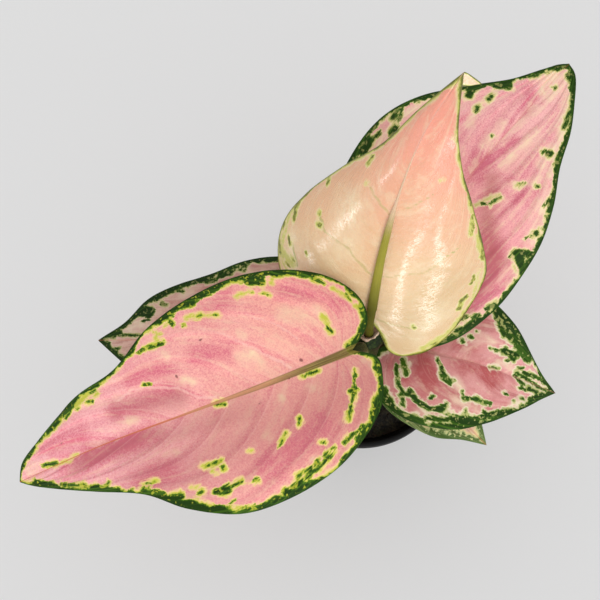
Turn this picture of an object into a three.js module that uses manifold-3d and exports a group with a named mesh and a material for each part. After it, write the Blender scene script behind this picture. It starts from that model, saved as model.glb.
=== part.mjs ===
// Potted chinese evergreen: a pink, broad-leaved aglaonema in a small nursery pot.
// Millimetres, +Z up. The origin is the middle of the pot's flat base.
import * as THREE from "three";
import Module from "manifold-3d";
import { mergeVertices } from "three/addons/utils/BufferGeometryUtils.js";

// ---------------------------------------------------------------- driving dimensions

const GAP = 0.3; // clearance between pieces that touch on the real plant

const POT = {
  height: 88,
  rimRadius: 50,
  rimBand: 9, // height of the thick band round the mouth
  wallTop: 46.5, // outer radius just under the rim band
  wallBase: 36,
  wall: 1.5,
  floor: 2,
  edge: 1, // rounding of the rim
  holes: 8,
  holeRadius: 3.5,
  holeInset: 8, // from the wall's foot to a hole's middle
  sides: 64,
};

const SOIL = {
  top: 78,
  edgeDrop: 1, // how far it sinks at the pot's wall
  rows: 6,
  sides: 40,
};

// The soil's lumps are waves over it: [height, turns per mm in x, turns per mm in y, start in radians].
const SOIL_LUMPS = [
  [0.55, 0.049, 0.043, 1.3],
  [0.55, 0.049, -0.043, 1.3],
  [0.55, -0.065, 0.099, 0],
  [0.4, 0.132, 0.111, 1.6],
];


const STEM = {
  radius: 5.2,
  foot: 40,
  top: 96,
  taper: 0.8, // how much thinner it is at both ends
  ringStep: 9,
  ringRise: 0.4,
  sides: 16,
};

const BLADE = {
  thickness: 0.8,
  rows: 20,
  columns: 5,
  rearmost: 0.09, // how far the lobes reach behind the stalk, of the blade's length
  veinSweep: 1.4, // how strongly the side veins lean towards the tip
  leastStep: 0.0025, // between two rows' starts, of the blade's length
  curlSpan: 50, // the width over which a leaf's curl is given
};

const STALK = {
  sides: 8,
  rings: 8,
  ribRings: 11,
  ribFlat: 0.75, // height of the midrib's section, of its width
  ribFrom: 0.06, // where the stalk has become the midrib, of the blade's length
  ribEnd: 0.35, // half width of the midrib where it ends
  ribTaper: 0.8,
  bury: 0.1, // how far the midrib stands into the blade
  dip: 1.3, // how far the stalk passes under the blade where it joins it
};

// One leaf: the midrib runs from the stalk to the tip. An outline point is [along the midrib, out from it],
// left or right as seen from the upper face. fold is the angle at which each half leaves the midrib, curl how
// far it turns in curlSpan, and curlTip how many times stronger it turns at the tip. stalk is the petiole's
// centre line from the stem up, and stalkSize its [half width, half depth] at foot and top.
const LEAVES = [
  {
    name: "leaf_front_left",
    colour: 0xe98f95,
    midrib: [[-7, -10, 158], [-49, -28, 164], [-91, -43, 160], [-136, -57, 143], [-182, -72, 112]],
    left: [
      [-10, 8], [-9, 18], [-2, 32], [12, 43], [32, 53], [57, 58],
      [80, 57], [103, 46], [123, 32], [149, 22], [174, 12], [190, 5],
    ],
    right: [
      [-12, 9], [-15, 20], [-11, 32], [1, 44], [22, 54], [48, 58],
      [76, 55], [99, 47], [120, 34], [148, 28], [174, 17], [191, 9],
    ],
    roll: 0,
    fold: [9, 9],
    curl: [-14, -14],
    curlTip: [1, 1],
    wave: { height: 1.6, count: 3.5, phase: 0.6 },
    stalk: [[0.4, -1, 100], [0.3, -2.8, 121], [-1.8, -5.6, 142]],
    stalkSize: [[5, 4], [2.7, 2.5]],
    ribLength: 0.9,
  },
  {
    name: "leaf_young",
    colour: 0xf0c0a0,
    midrib: [[3, 9, 142], [8, 36, 171], [16, 62, 199], [27, 85, 224], [43, 105, 246]],
    left: [
      [-13, 9], [-20, 22], [-14, 36], [4, 50], [28, 59],
      [52, 52], [78, 39], [102, 25], [127, 12],
    ],
    right: [
      [-13, 9], [-20, 22], [-13, 39], [7, 56], [31, 62],
      [51, 54], [74, 37], [96, 19], [121, 9],
    ],
    roll: 177,
    fold: [0, 0],
    curl: [34, 34],
    curlTip: [5, 10],
    wave: { height: 0.8, count: 2.5, phase: 2.0 },
    stalk: [[0.5, -0.4, 96.4], [2, -0.2, 113], [2.8, 3, 129]],
    stalkSize: [[3.4, 3.2], [2.4, 2.2]],
    ribLength: 0.75,
  },
  {
    name: "leaf_back_right",
    colour: 0xd98a95,
    midrib: [[9, 14, 124], [30, 48, 138], [53, 81, 150], [80, 112, 158], [109, 144, 162]],
    left: [
      [-9, 8], [-10, 18], [-2, 31], [15, 44], [37, 54], [62, 58],
      [84, 57], [103, 49], [122, 35], [142, 18], [157, 8],
    ],
    right: [
      [-9, 8], [-10, 17], [-3, 28], [13, 42], [37, 51], [63, 53],
      [86, 51], [106, 44], [124, 33], [142, 25], [157, 15],
    ],
    roll: 0,
    fold: [8, 1],
    curl: [-12, -14],
    curlTip: [1, 1],
    wave: { height: 1.8, count: 3, phase: 3.0 },
    stalk: [[2.6, 3.6, 84], [5.2, 8, 97], [7.4, 11.6, 112]],
    stalkSize: [[6.4, 4.6], [2.2, 2.1]],
    ribLength: 0.9,
  },
  {
    name: "leaf_back_left",
    colour: 0xc9939a,
    midrib: [[-16, 5, 115], [-45, 5, 118], [-79, 5, 115], [-113, 6, 107], [-145, 8, 95]],
    left: [
      [-9, 9], [-10, 20], [0, 34], [22, 43], [46, 43],
      [67, 37], [87, 30], [104, 21], [118, 11],
    ],
    right: [
      [-9, 9], [-10, 20], [1, 35], [24, 44], [47, 43],
      [68, 36], [89, 29], [105, 21], [118, 9],
    ],
    roll: 0,
    fold: [8, 4],
    curl: [-10, -10],
    curlTip: [1, 1],
    wave: { height: 1.5, count: 3, phase: 1.2 },
    stalk: [[-4, 0.2, 83], [-9, 2, 93], [-13, 4.2, 105]],
    stalkSize: [[6.2, 4.6], [2.1, 2]],
    ribLength: 0.9,
  },
  {
    name: "leaf_front_right",
    colour: 0xc87c86,
    midrib: [[18, 5, 109], [41, -3, 112], [64, -8, 108], [87, -14, 97], [109, -19, 80]],
    left: [
      [-8, 10], [-9, 20], [0, 33], [20, 41], [42, 38], [60, 28], [75, 17], [89, 7],
    ],
    right: [
      [-8, 10], [-9, 20], [0, 32], [20, 40], [42, 38], [60, 30], [76, 18], [90, 8],
    ],
    roll: 0,
    fold: [8, 8],
    curl: [-14, -14],
    curlTip: [1, 1],
    wave: { height: 1.6, count: 2.5, phase: 2.2 },
    stalk: [[3.8, 0.6, 82], [9.5, 2, 89], [15, 4, 99.5]],
    stalkSize: [[6, 4.6], [2.1, 2]],
    ribLength: 0.9,
  },
  {
    name: "leaf_small_low",
    colour: 0xd8b0a8,
    midrib: [[19, -2, 99], [31, -14, 101], [44, -26, 98], [57, -38, 93], [69, -49, 86]],
    left: [
      [-6, 6], [-6, 14], [2, 21], [17, 25], [33, 23], [47, 16], [59, 7],
    ],
    right: [
      [-6, 6], [-6, 14], [2, 21], [17, 25], [33, 22.5], [46, 17.5], [58, 8],
    ],
    roll: 0,
    fold: [8, 8],
    curl: [-10, -10],
    curlTip: [1, 1],
    wave: { height: 1, count: 2, phase: 0.4 },
    stalk: [[2.6, -3.2, 83], [8.5, -6, 87], [14.5, -4, 93]],
    stalkSize: [[5.2, 3.6], [1.8, 1.7]],
    ribLength: 0.85,
  },
];

// The biggest leaf's sheath: a cup round the young leaf's stalk, [x, y, z, outer radius, inner radius].
const SHEATH = [
  [0, 0, 87, 6.7, 4],
  [0.3, -0.2, 94, 7, 4],
  [0.9, -0.4, 103, 6.9, 4],
  [1.8, -0.2, 113, 6.4, 3.9],
  [2.5, 1.2, 122, 6, 3.8],
  [2.7, 2.6, 128, 6.2, 4.2],
  [2.8, 3.6, 132.5, 7.2, 5.6],
];
const SHEATH_SIDES = 14;

// ---------------------------------------------------------------- curves

function catmullRom(points, u) {
  const last = points.length - 1;
  const place = Math.min(Math.max(u, 0), 1) * last;
  const i = Math.min(Math.floor(place), last - 1);
  const f = place - i;
  const b = points[i];
  const c = points[i + 1];
  const a = points[i - 1] ?? b.map((v, k) => 2 * v - c[k]);
  const d = points[i + 2] ?? c.map((v, k) => 2 * v - b[k]);
  return b.map((v, k) => {
    const quadratic = 2 * a[k] - 5 * v + 4 * c[k] - d[k];
    const cubic = 3 * (v - c[k]) + d[k] - a[k];
    return 0.5 * (2 * v + (c[k] - a[k]) * f + quadratic * f * f + cubic * f * f * f);
  });
}

// A curve through the points that can be asked for its place and direction at a length in mm.
// Past its ends it runs on straight.
function lengthCurve(points, samples = 200) {
  const places = [];
  for (let i = 0; i <= samples; i++) {
    places.push(new THREE.Vector3(...catmullRom(points, i / samples)));
  }
  const lengths = [0];
  for (let i = 1; i <= samples; i++) {
    lengths.push(lengths[i - 1] + places[i].distanceTo(places[i - 1]));
  }
  const length = lengths[samples];
  const at = (s) => {
    const inside = Math.min(Math.max(s, 0), length);
    let i = 1;
    while (i < samples && lengths[i] < inside) i++;
    const f = (inside - lengths[i - 1]) / (lengths[i] - lengths[i - 1]);
    const before = places[Math.max(i - 2, 0)];
    const after = places[Math.min(i + 1, samples)];
    const direction = after.clone().sub(before).normalize();
    const place = places[i - 1].clone().lerp(places[i], f);
    return { place: place.addScaledVector(direction, s - inside), direction };
  };
  return { length, at };
}

// ---------------------------------------------------------------- solids

const wasm = await Module();
wasm.setup();

function solidOf(geometry) {
  const bare = geometry.clone();
  bare.deleteAttribute("normal");
  bare.deleteAttribute("uv");
  const merged = mergeVertices(bare, 1e-4);
  return new wasm.Manifold(new wasm.Mesh({
    numProp: 3,
    vertProperties: new Float32Array(merged.attributes.position.array),
    triVerts: new Uint32Array(merged.index.array),
  }));
}

// A solid's geometry, without the loose scraps that a cut can leave.
function geometryOf(solid) {
  const bodies = solid.decompose().sort((a, b) => b.volume() - a.volume());
  const mesh = bodies[0].getMesh();
  const geometry = new THREE.BufferGeometry();
  geometry.setAttribute("position", new THREE.Float32BufferAttribute(mesh.vertProperties, 3));
  geometry.setIndex([...mesh.triVerts]);
  geometry.computeVertexNormals();
  return geometry;
}

function geometryFrom(vertices, triangles) {
  const geometry = new THREE.BufferGeometry();
  const flat = vertices.flatMap((v) => [v.x, v.y, v.z]);
  geometry.setAttribute("position", new THREE.Float32BufferAttribute(flat, 3));
  geometry.setIndex(triangles.flat());
  return geometry;
}

// A closed skin over rings of points that follow each other, capped with a fan at both ends.
function loft(rings) {
  const n = rings[0].length;
  const middle = (ring) => ring.reduce((sum, v) => sum.add(v), new THREE.Vector3()).divideScalar(n);
  const vertices = [...rings.flat(), middle(rings[0]), middle(rings.at(-1))];
  const triangles = [];
  for (let r = 0; r + 1 < rings.length; r++) {
    for (let k = 0; k < n; k++) {
      const a = r * n + k;
      const b = r * n + ((k + 1) % n);
      triangles.push([a, b, b + n], [a, b + n, a + n]);
    }
  }
  const foot = rings.length * n;
  const top = foot - n;
  for (let k = 0; k < n; k++) {
    const next = (k + 1) % n;
    triangles.push([foot, next, k], [foot + 1, top + k, top + next]);
  }
  return geometryFrom(vertices, triangles);
}

// Round rings lying flat, for what stands upright: each is [x, y, z, radius].
function flatRings(list, sides) {
  return list.map(([x, y, z, radius]) => {
    const ring = [];
    for (let k = 0; k < sides; k++) {
      const turn = (2 * Math.PI * k) / sides;
      ring.push(new THREE.Vector3(x + radius * Math.cos(turn), y + radius * Math.sin(turn), z));
    }
    return ring;
  });
}

// ---------------------------------------------------------------- a leaf's blade

const UP = new THREE.Vector3(0, 0, 1);

// The midrib's place and directions at s: ahead to the tip, left across the blade, and out of its upper face.
function frameAt(leaf, s) {
  const { place, direction } = leaf.curve.at(s);
  const level = new THREE.Vector3().crossVectors(UP, direction).normalize();
  const roll = THREE.MathUtils.degToRad(leaf.roll);
  const left = level.applyAxisAngle(direction, roll);
  const out = new THREE.Vector3().crossVectors(direction, left);
  return { place, ahead: direction, left, out };
}

// The blade's middle surface at s along the midrib and t across it, positive to the left.
function bladePoint(leaf, s, t, lift = 0) {
  const { place, left, out } = frameAt(leaf, s);
  const side = t >= 0 ? 0 : 1;
  const along = Math.min(Math.max(s / leaf.curve.length, 0), 1);
  const stronger = 1 + (leaf.curlTip[side] - 1) * along ** 3;
  const turn = THREE.MathUtils.degToRad(leaf.curl[side] * stronger) / BLADE.curlSpan;
  const fold = THREE.MathUtils.degToRad(leaf.fold[side]);
  const angle = fold + turn * Math.abs(t);
  const across = (Math.sin(angle) - Math.sin(fold)) / turn;
  const rise = (Math.cos(fold) - Math.cos(angle)) / turn + lift;
  return place.addScaledVector(left, Math.sign(t) * across).addScaledVector(out, rise);
}

// Rows of the blade's grid: where each starts on the midrib, and its ends on the two outlines.
function bladeRows(leaf) {
  const { length } = leaf.curve;
  const ends = (side) => [[0, 0], ...side, [length, 0]];
  const rows = [];
  let start = 0;
  for (let i = 0; i <= BLADE.rows; i++) {
    const u = i / BLADE.rows;
    const left = catmullRom(ends(leaf.left), u);
    const right = catmullRom(ends(leaf.right), u);
    const reach = (left[0] + right[0]) / 2 / length + BLADE.rearmost;
    const swept = length * (Math.max(reach, 0) / (1 + BLADE.rearmost)) ** BLADE.veinSweep;
    if (i > 0) start = Math.max(start + length * BLADE.leastStep, swept);
    if (i === BLADE.rows) start = length;
    rows.push({ u, start, left, right });
  }
  return rows;
}

function bladeVertex(leaf, row, side, v) {
  const end = side > 0 ? row.left : row.right;
  const s = row.start + (end[0] - row.start) * v;
  const t = side * end[1] * v;
  const { height, count, phase } = leaf.wave;
  const swell = Math.sin(Math.PI * row.u);
  const lift = height * swell * v * v * Math.sin(2 * Math.PI * count * row.u + phase + side);
  return bladePoint(leaf, s, t, lift);
}

// The blade as a closed sheet: the same triangles on both faces, joined round the margin.
function bladeGeometry(leaf) {
  const rows = bladeRows(leaf);
  const { columns } = BLADE;
  const points = [bladePoint(leaf, 0, 0)];
  const index = { 1: [[]], "-1": [[]] };
  for (let i = 1; i < BLADE.rows; i++) {
    const onMidrib = points.push(bladeVertex(leaf, rows[i], 1, 0)) - 1;
    for (const side of [1, -1]) {
      index[side][i] = [onMidrib];
      for (let j = 1; j <= columns; j++) {
        index[side][i].push(points.push(bladeVertex(leaf, rows[i], side, j / columns)) - 1);
      }
    }
  }
  const tip = points.push(bladePoint(leaf, leaf.curve.length, 0)) - 1;
  const upper = [];
  for (const side of [1, -1]) {
    const face = (a, b, c) => upper.push(side > 0 ? [a, b, c] : [a, c, b]);
    const grid = index[side];
    for (let j = 0; j < columns; j++) {
      face(0, grid[1][j], grid[1][j + 1]);
      for (let i = 1; i + 1 < BLADE.rows; i++) {
        face(grid[i][j], grid[i + 1][j], grid[i + 1][j + 1]);
        face(grid[i][j], grid[i + 1][j + 1], grid[i][j + 1]);
      }
      face(grid[BLADE.rows - 1][j], tip, grid[BLADE.rows - 1][j + 1]);
    }
  }
  const sheet = geometryFrom(points, upper);
  sheet.computeVertexNormals();
  const normal = sheet.attributes.normal;
  const n = points.length;
  const shifted = (sign) => points.map((p, i) => p.clone().addScaledVector(
    new THREE.Vector3().fromBufferAttribute(normal, i), (sign * BLADE.thickness) / 2));
  const inner = Array.from({ length: BLADE.rows - 1 }, (_, i) => i + 1);
  const margin = [
    0,
    ...inner.map((i) => index[-1][i][columns]),
    tip,
    ...inner.toReversed().map((i) => index[1][i][columns]),
  ];
  const triangles = upper.flatMap(([a, b, c]) => [[a, b, c], [a + n, c + n, b + n]]);
  margin.forEach((a, k) => {
    const b = margin[(k + 1) % margin.length];
    triangles.push([a, a + n, b + n], [a, b + n, b]);
  });
  return geometryFrom([...shifted(1), ...shifted(-1)], triangles);
}

// ---------------------------------------------------------------- a leaf's stalk and midrib

// One loft: the petiole from the stem to the blade, and on under the blade as its raised midrib.
// grown makes it thicker by that much all round, to cut room for it in a neighbour.
function stalkGeometry(leaf, grown = 0) {
  const { length } = leaf.curve;
  const [footSize, topSize] = leaf.stalkSize;
  const under = (s, half) => {
    const { place, out } = frameAt(leaf, s);
    return place.addScaledVector(out, STALK.bury - half);
  };
  const join = under(0, topSize[1] + STALK.dip);
  const past = under(length * STALK.ribFrom, topSize[1]);
  const route = lengthCurve([...leaf.stalk, join.toArray(), past.toArray()]);
  const stations = [];
  for (let i = 0; i < STALK.rings; i++) {
    const f = i / STALK.rings;
    const size = [0, 1].map((k) => THREE.MathUtils.lerp(footSize[k], topSize[k], Math.sqrt(f)));
    stations.push({ ...route.at(route.length * f), size });
  }
  for (let i = 0; i < STALK.ribRings; i++) {
    const f = i / (STALK.ribRings - 1);
    const s = length * THREE.MathUtils.lerp(STALK.ribFrom, leaf.ribLength, f);
    const width = topSize[0] * (1 - f) ** STALK.ribTaper + STALK.ribEnd;
    const height = Math.min(width * STALK.ribFlat, topSize[1]);
    stations.push({ place: under(s, height), direction: leaf.curve.at(s).direction, size: [width, height] });
  }
  const hint = frameAt(leaf, 0).left;
  const rings = stations.map(({ place, direction, size }) => {
    const across = hint.clone().addScaledVector(direction, -hint.dot(direction)).normalize();
    const out = new THREE.Vector3().crossVectors(direction, across);
    const ring = [];
    for (let k = 0; k < STALK.sides; k++) {
      const turn = (2 * Math.PI * (k + 0.5)) / STALK.sides;
      ring.push(place.clone()
        .addScaledVector(across, (size[0] + grown) * Math.cos(turn))
        .addScaledVector(out, (size[1] + grown) * Math.sin(turn)));
    }
    return ring;
  });
  return loft(rings);
}

// ---------------------------------------------------------------- pot, soil and stem

function potGeometry() {
  const { height, rimRadius, rimBand, wallTop, wallBase, wall, floor, edge } = POT;
  const profile = [
    [0, 0], [wallBase - edge, 0], [wallBase, edge],
    [wallTop, height - rimBand], [rimRadius - edge, height - rimBand],
    [rimRadius, height - rimBand + edge], [rimRadius, height - edge], [rimRadius - edge, height],
    [rimRadius - wall - edge, height], [wallTop - wall, height - rimBand],
    [wallBase - wall, floor], [0, floor],
  ].map(([x, y]) => new THREE.Vector2(x, y));
  let pot = solidOf(new THREE.LatheGeometry(profile, POT.sides).rotateX(Math.PI / 2));
  const reach = wallBase - POT.holeInset;
  for (let i = 0; i < POT.holes; i++) {
    const turn = (2 * Math.PI * (i + 0.5)) / POT.holes;
    const hole = new THREE.CylinderGeometry(POT.holeRadius, POT.holeRadius, 6 * floor, 16)
      .rotateX(Math.PI / 2)
      .translate(reach * Math.cos(turn), reach * Math.sin(turn), 0);
    pot = pot.subtract(solidOf(hole));
  }
  return geometryOf(pot);
}

function soilGeometry() {
  const inner = (z) => {
    const { height, rimBand, wallTop, wallBase, wall, floor } = POT;
    const f = (z - floor) / (height - rimBand - floor);
    return THREE.MathUtils.lerp(wallBase, wallTop, f) - wall - GAP;
  };
  const lump = (x, y) => {
    const waves = SOIL_LUMPS.map(([high, inX, inY, start]) => (
      high * Math.sin(2 * Math.PI * (inX * x + inY * y) + start)));
    return waves.reduce((sum, wave) => sum + wave);
  };
  const vertices = [new THREE.Vector3(0, 0, SOIL.top + lump(0, 0))];
  const triangles = [];
  const { rows, sides } = SOIL;
  const ring = (r, k) => 1 + (r - 1) * sides + (k % sides);
  const edge = inner(SOIL.top - 2 * SOIL.edgeDrop);
  for (let r = 1; r <= rows; r++) {
    for (let k = 0; k < sides; k++) {
      const turn = (2 * Math.PI * k) / sides;
      const x = (edge * r * Math.cos(turn)) / rows;
      const y = (edge * r * Math.sin(turn)) / rows;
      const z = SOIL.top + (r < rows ? lump(x, y) : lump(x, y) / 3 - SOIL.edgeDrop);
      vertices.push(new THREE.Vector3(x, y, z));
    }
  }
  const bottomZ = POT.floor + GAP;
  const bottom = inner(bottomZ);
  for (let k = 0; k < sides; k++) {
    const turn = (2 * Math.PI * k) / sides;
    vertices.push(new THREE.Vector3(bottom * Math.cos(turn), bottom * Math.sin(turn), bottomZ));
  }
  const middle = vertices.push(new THREE.Vector3(0, 0, bottomZ)) - 1;
  for (let k = 0; k < sides; k++) {
    triangles.push([0, ring(1, k), ring(1, k + 1)]);
    for (let r = 1; r < rows; r++) {
      triangles.push([ring(r, k), ring(r + 1, k), ring(r + 1, k + 1)]);
      triangles.push([ring(r, k), ring(r + 1, k + 1), ring(r, k + 1)]);
    }
    triangles.push([ring(rows, k), ring(rows + 1, k), ring(rows + 1, k + 1)]);
    triangles.push([ring(rows, k), ring(rows + 1, k + 1), ring(rows, k + 1)]);
    triangles.push([middle, ring(rows + 1, k + 1), ring(rows + 1, k)]);
  }
  const block = solidOf(geometryFrom(vertices, triangles));
  return geometryOf(block.subtract(stemSolid(GAP)));
}

// The cane: ringed where old leaves have dropped. grown thickens it to cut room for it.
function stemSolid(grown = 0) {
  const { radius, foot, top, taper, ringStep, ringRise, sides } = STEM;
  const list = [[0, 0, foot - grown, radius - taper + grown]];
  for (let z = foot + ringStep / 4; z + ringStep < top; z += ringStep) {
    list.push([0, 0, z, radius + grown]);
    list.push([0, 0, z + ringStep * 0.5, radius + ringRise + grown]);
    list.push([0, 0, z + ringStep * 0.6, radius + grown]);
  }
  list.push([0, 0, top + grown, radius - taper + grown]);
  return solidOf(loft(flatRings(list, sides)));
}

// ---------------------------------------------------------------- putting it together

const plant = new THREE.Group();

function addPiece(name, geometry, colour, roughness) {
  const material = new THREE.MeshStandardMaterial({ color: colour, roughness, metalness: 0 });
  const mesh = new THREE.Mesh(geometry, material);
  mesh.name = name;
  plant.add(mesh);
}

addPiece("pot", potGeometry(), 0x17171a, 0.5);
addPiece("soil", soilGeometry(), 0x2c2418, 0.95);
addPiece("stem", geometryOf(stemSolid()), 0x6f7f3a, 0.6);

for (const leaf of LEAVES) leaf.curve = lengthCurve(leaf.midrib);
const [biggest, young] = LEAVES;

// The sheath's rings with a radius of their own, the first and last moved outwards by stretch.
function sheathSolid(radiusOf, stretch = 0) {
  const last = SHEATH.length - 1;
  const rings = SHEATH.map((ring, i) => {
    const [x, y, z] = ring;
    const moved = i === 0 ? -stretch : i === last ? stretch : 0;
    return [x, y, z + moved, radiusOf(ring)];
  });
  return solidOf(loft(flatRings(rings, SHEATH_SIDES)));
}

const sheathInner = sheathSolid((ring) => ring[4], 1);
const sheathRoom = sheathSolid((ring) => ring[3] + GAP, GAP);

// Each leaf is cut back from the stem and from the stalks that stand inside its own.
const rooms = [stemSolid(GAP)];
for (const leaf of [young, biggest, ...LEAVES.slice(2)]) {
  let solid = solidOf(bladeGeometry(leaf)).add(solidOf(stalkGeometry(leaf)));
  if (leaf === biggest) solid = solid.add(sheathSolid((ring) => ring[3])).subtract(sheathInner);
  for (const room of rooms) solid = solid.subtract(room);
  rooms.push(solidOf(stalkGeometry(leaf, GAP)));
  if (leaf === biggest) rooms.push(sheathRoom);
  addPiece(leaf.name, geometryOf(solid), leaf.colour, 0.4);
}

export default plant;
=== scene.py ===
"""Looks of a potted chinese evergreen: a pink, broad-leaved aglaonema in a small black nursery pot.

Sizes are written in millimetres, as on the drawing of the part, and turned into metres when a mesh is made.
"""

import logging
import math
from dataclasses import dataclass, field
from enum import Enum

import bmesh
import bpy
import numpy as np
from mathutils import Matrix, Vector


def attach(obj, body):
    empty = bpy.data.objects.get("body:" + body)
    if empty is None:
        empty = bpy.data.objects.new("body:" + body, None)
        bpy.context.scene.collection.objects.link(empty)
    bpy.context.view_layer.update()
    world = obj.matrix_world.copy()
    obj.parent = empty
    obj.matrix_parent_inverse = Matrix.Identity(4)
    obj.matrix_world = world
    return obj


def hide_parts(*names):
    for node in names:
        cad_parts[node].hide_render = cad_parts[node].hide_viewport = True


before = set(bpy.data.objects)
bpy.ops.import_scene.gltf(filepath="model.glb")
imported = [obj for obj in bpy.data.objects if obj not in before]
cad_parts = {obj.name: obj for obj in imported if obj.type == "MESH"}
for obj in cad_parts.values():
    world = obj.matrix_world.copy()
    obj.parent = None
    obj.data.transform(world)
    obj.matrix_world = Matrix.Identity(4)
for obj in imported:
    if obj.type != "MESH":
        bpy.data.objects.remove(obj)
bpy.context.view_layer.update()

LOG = logging.getLogger("potted_chinese_evergreen")
MM = 0.001
# Painted distance, in millimetres, at which no mark shows.
UNMARKED = 9.0
Array = np.ndarray
Point = tuple[float, float]
Place = tuple[float, float, float]
Colour = tuple[float, float, float]
Faces = list[tuple[int, ...]]
Values = dict[str, Array]
Piece = bpy.types.Object
Material = bpy.types.Material
Node = bpy.types.Node
Socket = bpy.types.NodeSocket
Sockets = bpy.types.bpy_prop_collection


# ------------------------------------------------------------------ curves, noise and meshes


def catmull_rom(points: Array, u: Array) -> Array:
    """Follows a smooth curve through the points.

    Args:
        points: The points, one a row.
        u: Where to look, from 0 at the first point to 1 at the last.

    Returns:
        One place for each u.
    """
    last = len(points) - 1
    place = np.clip(u, 0, 1) * last
    i = np.minimum(place.astype(int), last - 1)
    f = (place - i)[:, None]
    b, c = points[i], points[i + 1]
    a = np.where((i > 0)[:, None], points[np.maximum(i - 1, 0)], 2 * b - c)
    d = np.where((i < last - 1)[:, None], points[np.minimum(i + 2, last)], 2 * c - b)
    quadratic = 2 * a - 5 * b + 4 * c - d
    cubic = 3 * (b - c) + d - a
    return 0.5 * (2 * b + (c - a) * f + quadratic * f**2 + cubic * f**3)


def smoothstep(low: float, high: float, x: Array) -> Array:
    """Rises smoothly from 0 at low to 1 at high."""
    f = np.clip((x - low) / (high - low), 0, 1)
    return f * f * (3 - 2 * f)


def hump(x: Array, half: float) -> Array:
    """A smooth bump of height 1 at 0 and of this half width."""
    return np.exp(-((x / half) ** 2))


def unit(rows: Array) -> Array:
    """Makes every row 1 long."""
    return rows / np.linalg.norm(rows, axis=1)[:, None]


def steps_round(sides: int) -> Array:
    """Even angles round a full turn."""
    return np.linspace(0, 2 * np.pi, sides, endpoint=False)


def round_axis(radius: Array | float, turn: Array, height: Array | float) -> Array:
    """Places at a radius, an angle and a height round the Z axis."""
    return np.stack(np.broadcast_arrays(radius * np.cos(turn), radius * np.sin(turn), height), -1)


class LumpNoise:
    """Seeded, smooth noise over a plane, for relief that is alike in each run."""

    CELLS = 64
    ORIGIN = (17.3, 31.7)
    LAYER_SHIFT = (7, -5)

    def __init__(self, seed: int) -> None:
        """Fills the lattice from the seed."""
        self.lattice = np.random.default_rng(seed).uniform(-1, 1, (self.CELLS, self.CELLS))

    def at(self, x: Array, y: Array, span: float) -> Array:
        """Reads the noise.

        Args:
            x: First coordinates.
            y: Second coordinates.
            span: Width of one lump, in the coordinates' unit.

        Returns:
            Values between -1 and 1.
        """
        p, q = x / span + self.ORIGIN[0], y / span + self.ORIGIN[1]
        i, j = np.floor(p).astype(int), np.floor(q).astype(int)
        f, g = smoothstep(0, 1, p - i), smoothstep(0, 1, q - j)
        low, high = (
            self.lattice[i % self.CELLS, row] * (1 - f) + self.lattice[(i + 1) % self.CELLS, row] * f
            for row in (j % self.CELLS, (j + 1) % self.CELLS)
        )
        return low * (1 - g) + high * g

    def layered(self, x: Array, y: Array, span: float, layers: int = 3) -> Array:
        """Adds up finer and finer noise, each layer half as wide and half as strong."""
        right, up = self.LAYER_SHIFT
        return sum(self.at(x + right * k, y + up * k, span / 2**k) / 2**k for k in range(layers))


@dataclass
class Skin:
    """Points, faces and painted values that become one mesh."""

    points: list[Array] = field(default_factory=list)
    faces: Faces = field(default_factory=list)
    slots: list[int] = field(default_factory=list)
    values: dict[str, list[Array]] = field(default_factory=dict)
    count: int = 0

    def add(self, points: Array, faces: Faces, slot: int | Array, values: Values | None = None) -> None:
        """Adds a patch of surface.

        Args:
            points: Its points in millimetres.
            faces: Its faces, counted from its own first point.
            slot: The material slot of all its faces, or one for each.
            values: Painted values, one a point.
        """
        n = len(points)
        for name in self.values.keys() | (values or {}).keys():
            column = self.values.setdefault(name, [np.zeros(self.count)] if self.count else [])
            column.append((values or {}).get(name, np.zeros(n)))
        self.points.append(points)
        self.faces += [tuple(i + self.count for i in face) for face in faces]
        self.slots += [slot] * len(faces) if isinstance(slot, int) else list(slot)
        self.count += n

    def add_sheet(self, middle: Array, shift: Array, upper: Faces, edge: Faces, slots: tuple[int, int],
                  values: Values) -> None:
        """Adds a thin sheet with two faces and a margin.

        Args:
            middle: Points of its middle surface.
            shift: The way from them to the upper face; the lower face is as far off on the other side.
            upper: Faces of the upper side.
            edge: Faces of the margin. In them the lower points are counted on from the upper ones.
            slots: The material slots of the upper side and of all the rest.
            values: Painted values, one for each point of the middle surface.
        """
        n = len(middle)
        under = [tuple(i + n for i in reversed(face)) for face in upper]
        slot = np.repeat(slots, (len(upper), len(under) + len(edge)))
        doubled = {key: np.tile(value, 2) for key, value in values.items()}
        self.add(np.concatenate([middle + shift, middle - shift]), upper + under + edge, slot, doubled)

    def piece(self, name: str, materials: list[Material]) -> Piece:
        """Makes the mesh object, smooth shaded, in metres.

        Args:
            name: The object's name.
            materials: Its materials, in the order of the slots.

        Returns:
            The object, linked to the scene.
        """
        mesh = bpy.data.meshes.new(name)
        mesh.from_pydata((np.concatenate(self.points) * MM).tolist(), [], self.faces)
        for key, columns in self.values.items():
            attribute = mesh.attributes.new(key, "FLOAT", "POINT")
            attribute.data.foreach_set("value", np.concatenate(columns).astype(np.float32))
        for material in materials:
            mesh.materials.append(material)
        mesh.polygons.foreach_set("material_index", np.array(self.slots, np.int32))
        mesh.polygons.foreach_set("use_smooth", np.ones(len(self.faces), bool))
        mesh.update()
        piece = bpy.data.objects.new(name, mesh)
        bpy.context.scene.collection.objects.link(piece)
        return piece


def tube_faces(rings: int, sides: int) -> Faces:
    """Faces of a tube of rings that follow each other, with a flat face over each end.

    Args:
        rings: How many rings.
        sides: Points in a ring.

    Returns:
        The faces, turned outwards where the rings run anticlockwise as seen from the last one.
    """
    faces = []
    last = (rings - 1) * sides
    for first in range(0, last, sides):
        for k in range(sides):
            a, b = first + k, first + (k + 1) % sides
            faces.append((a, b, b + sides, a + sides))
    return [*faces, tuple(reversed(range(sides))), tuple(range(last, last + sides))]


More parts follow.
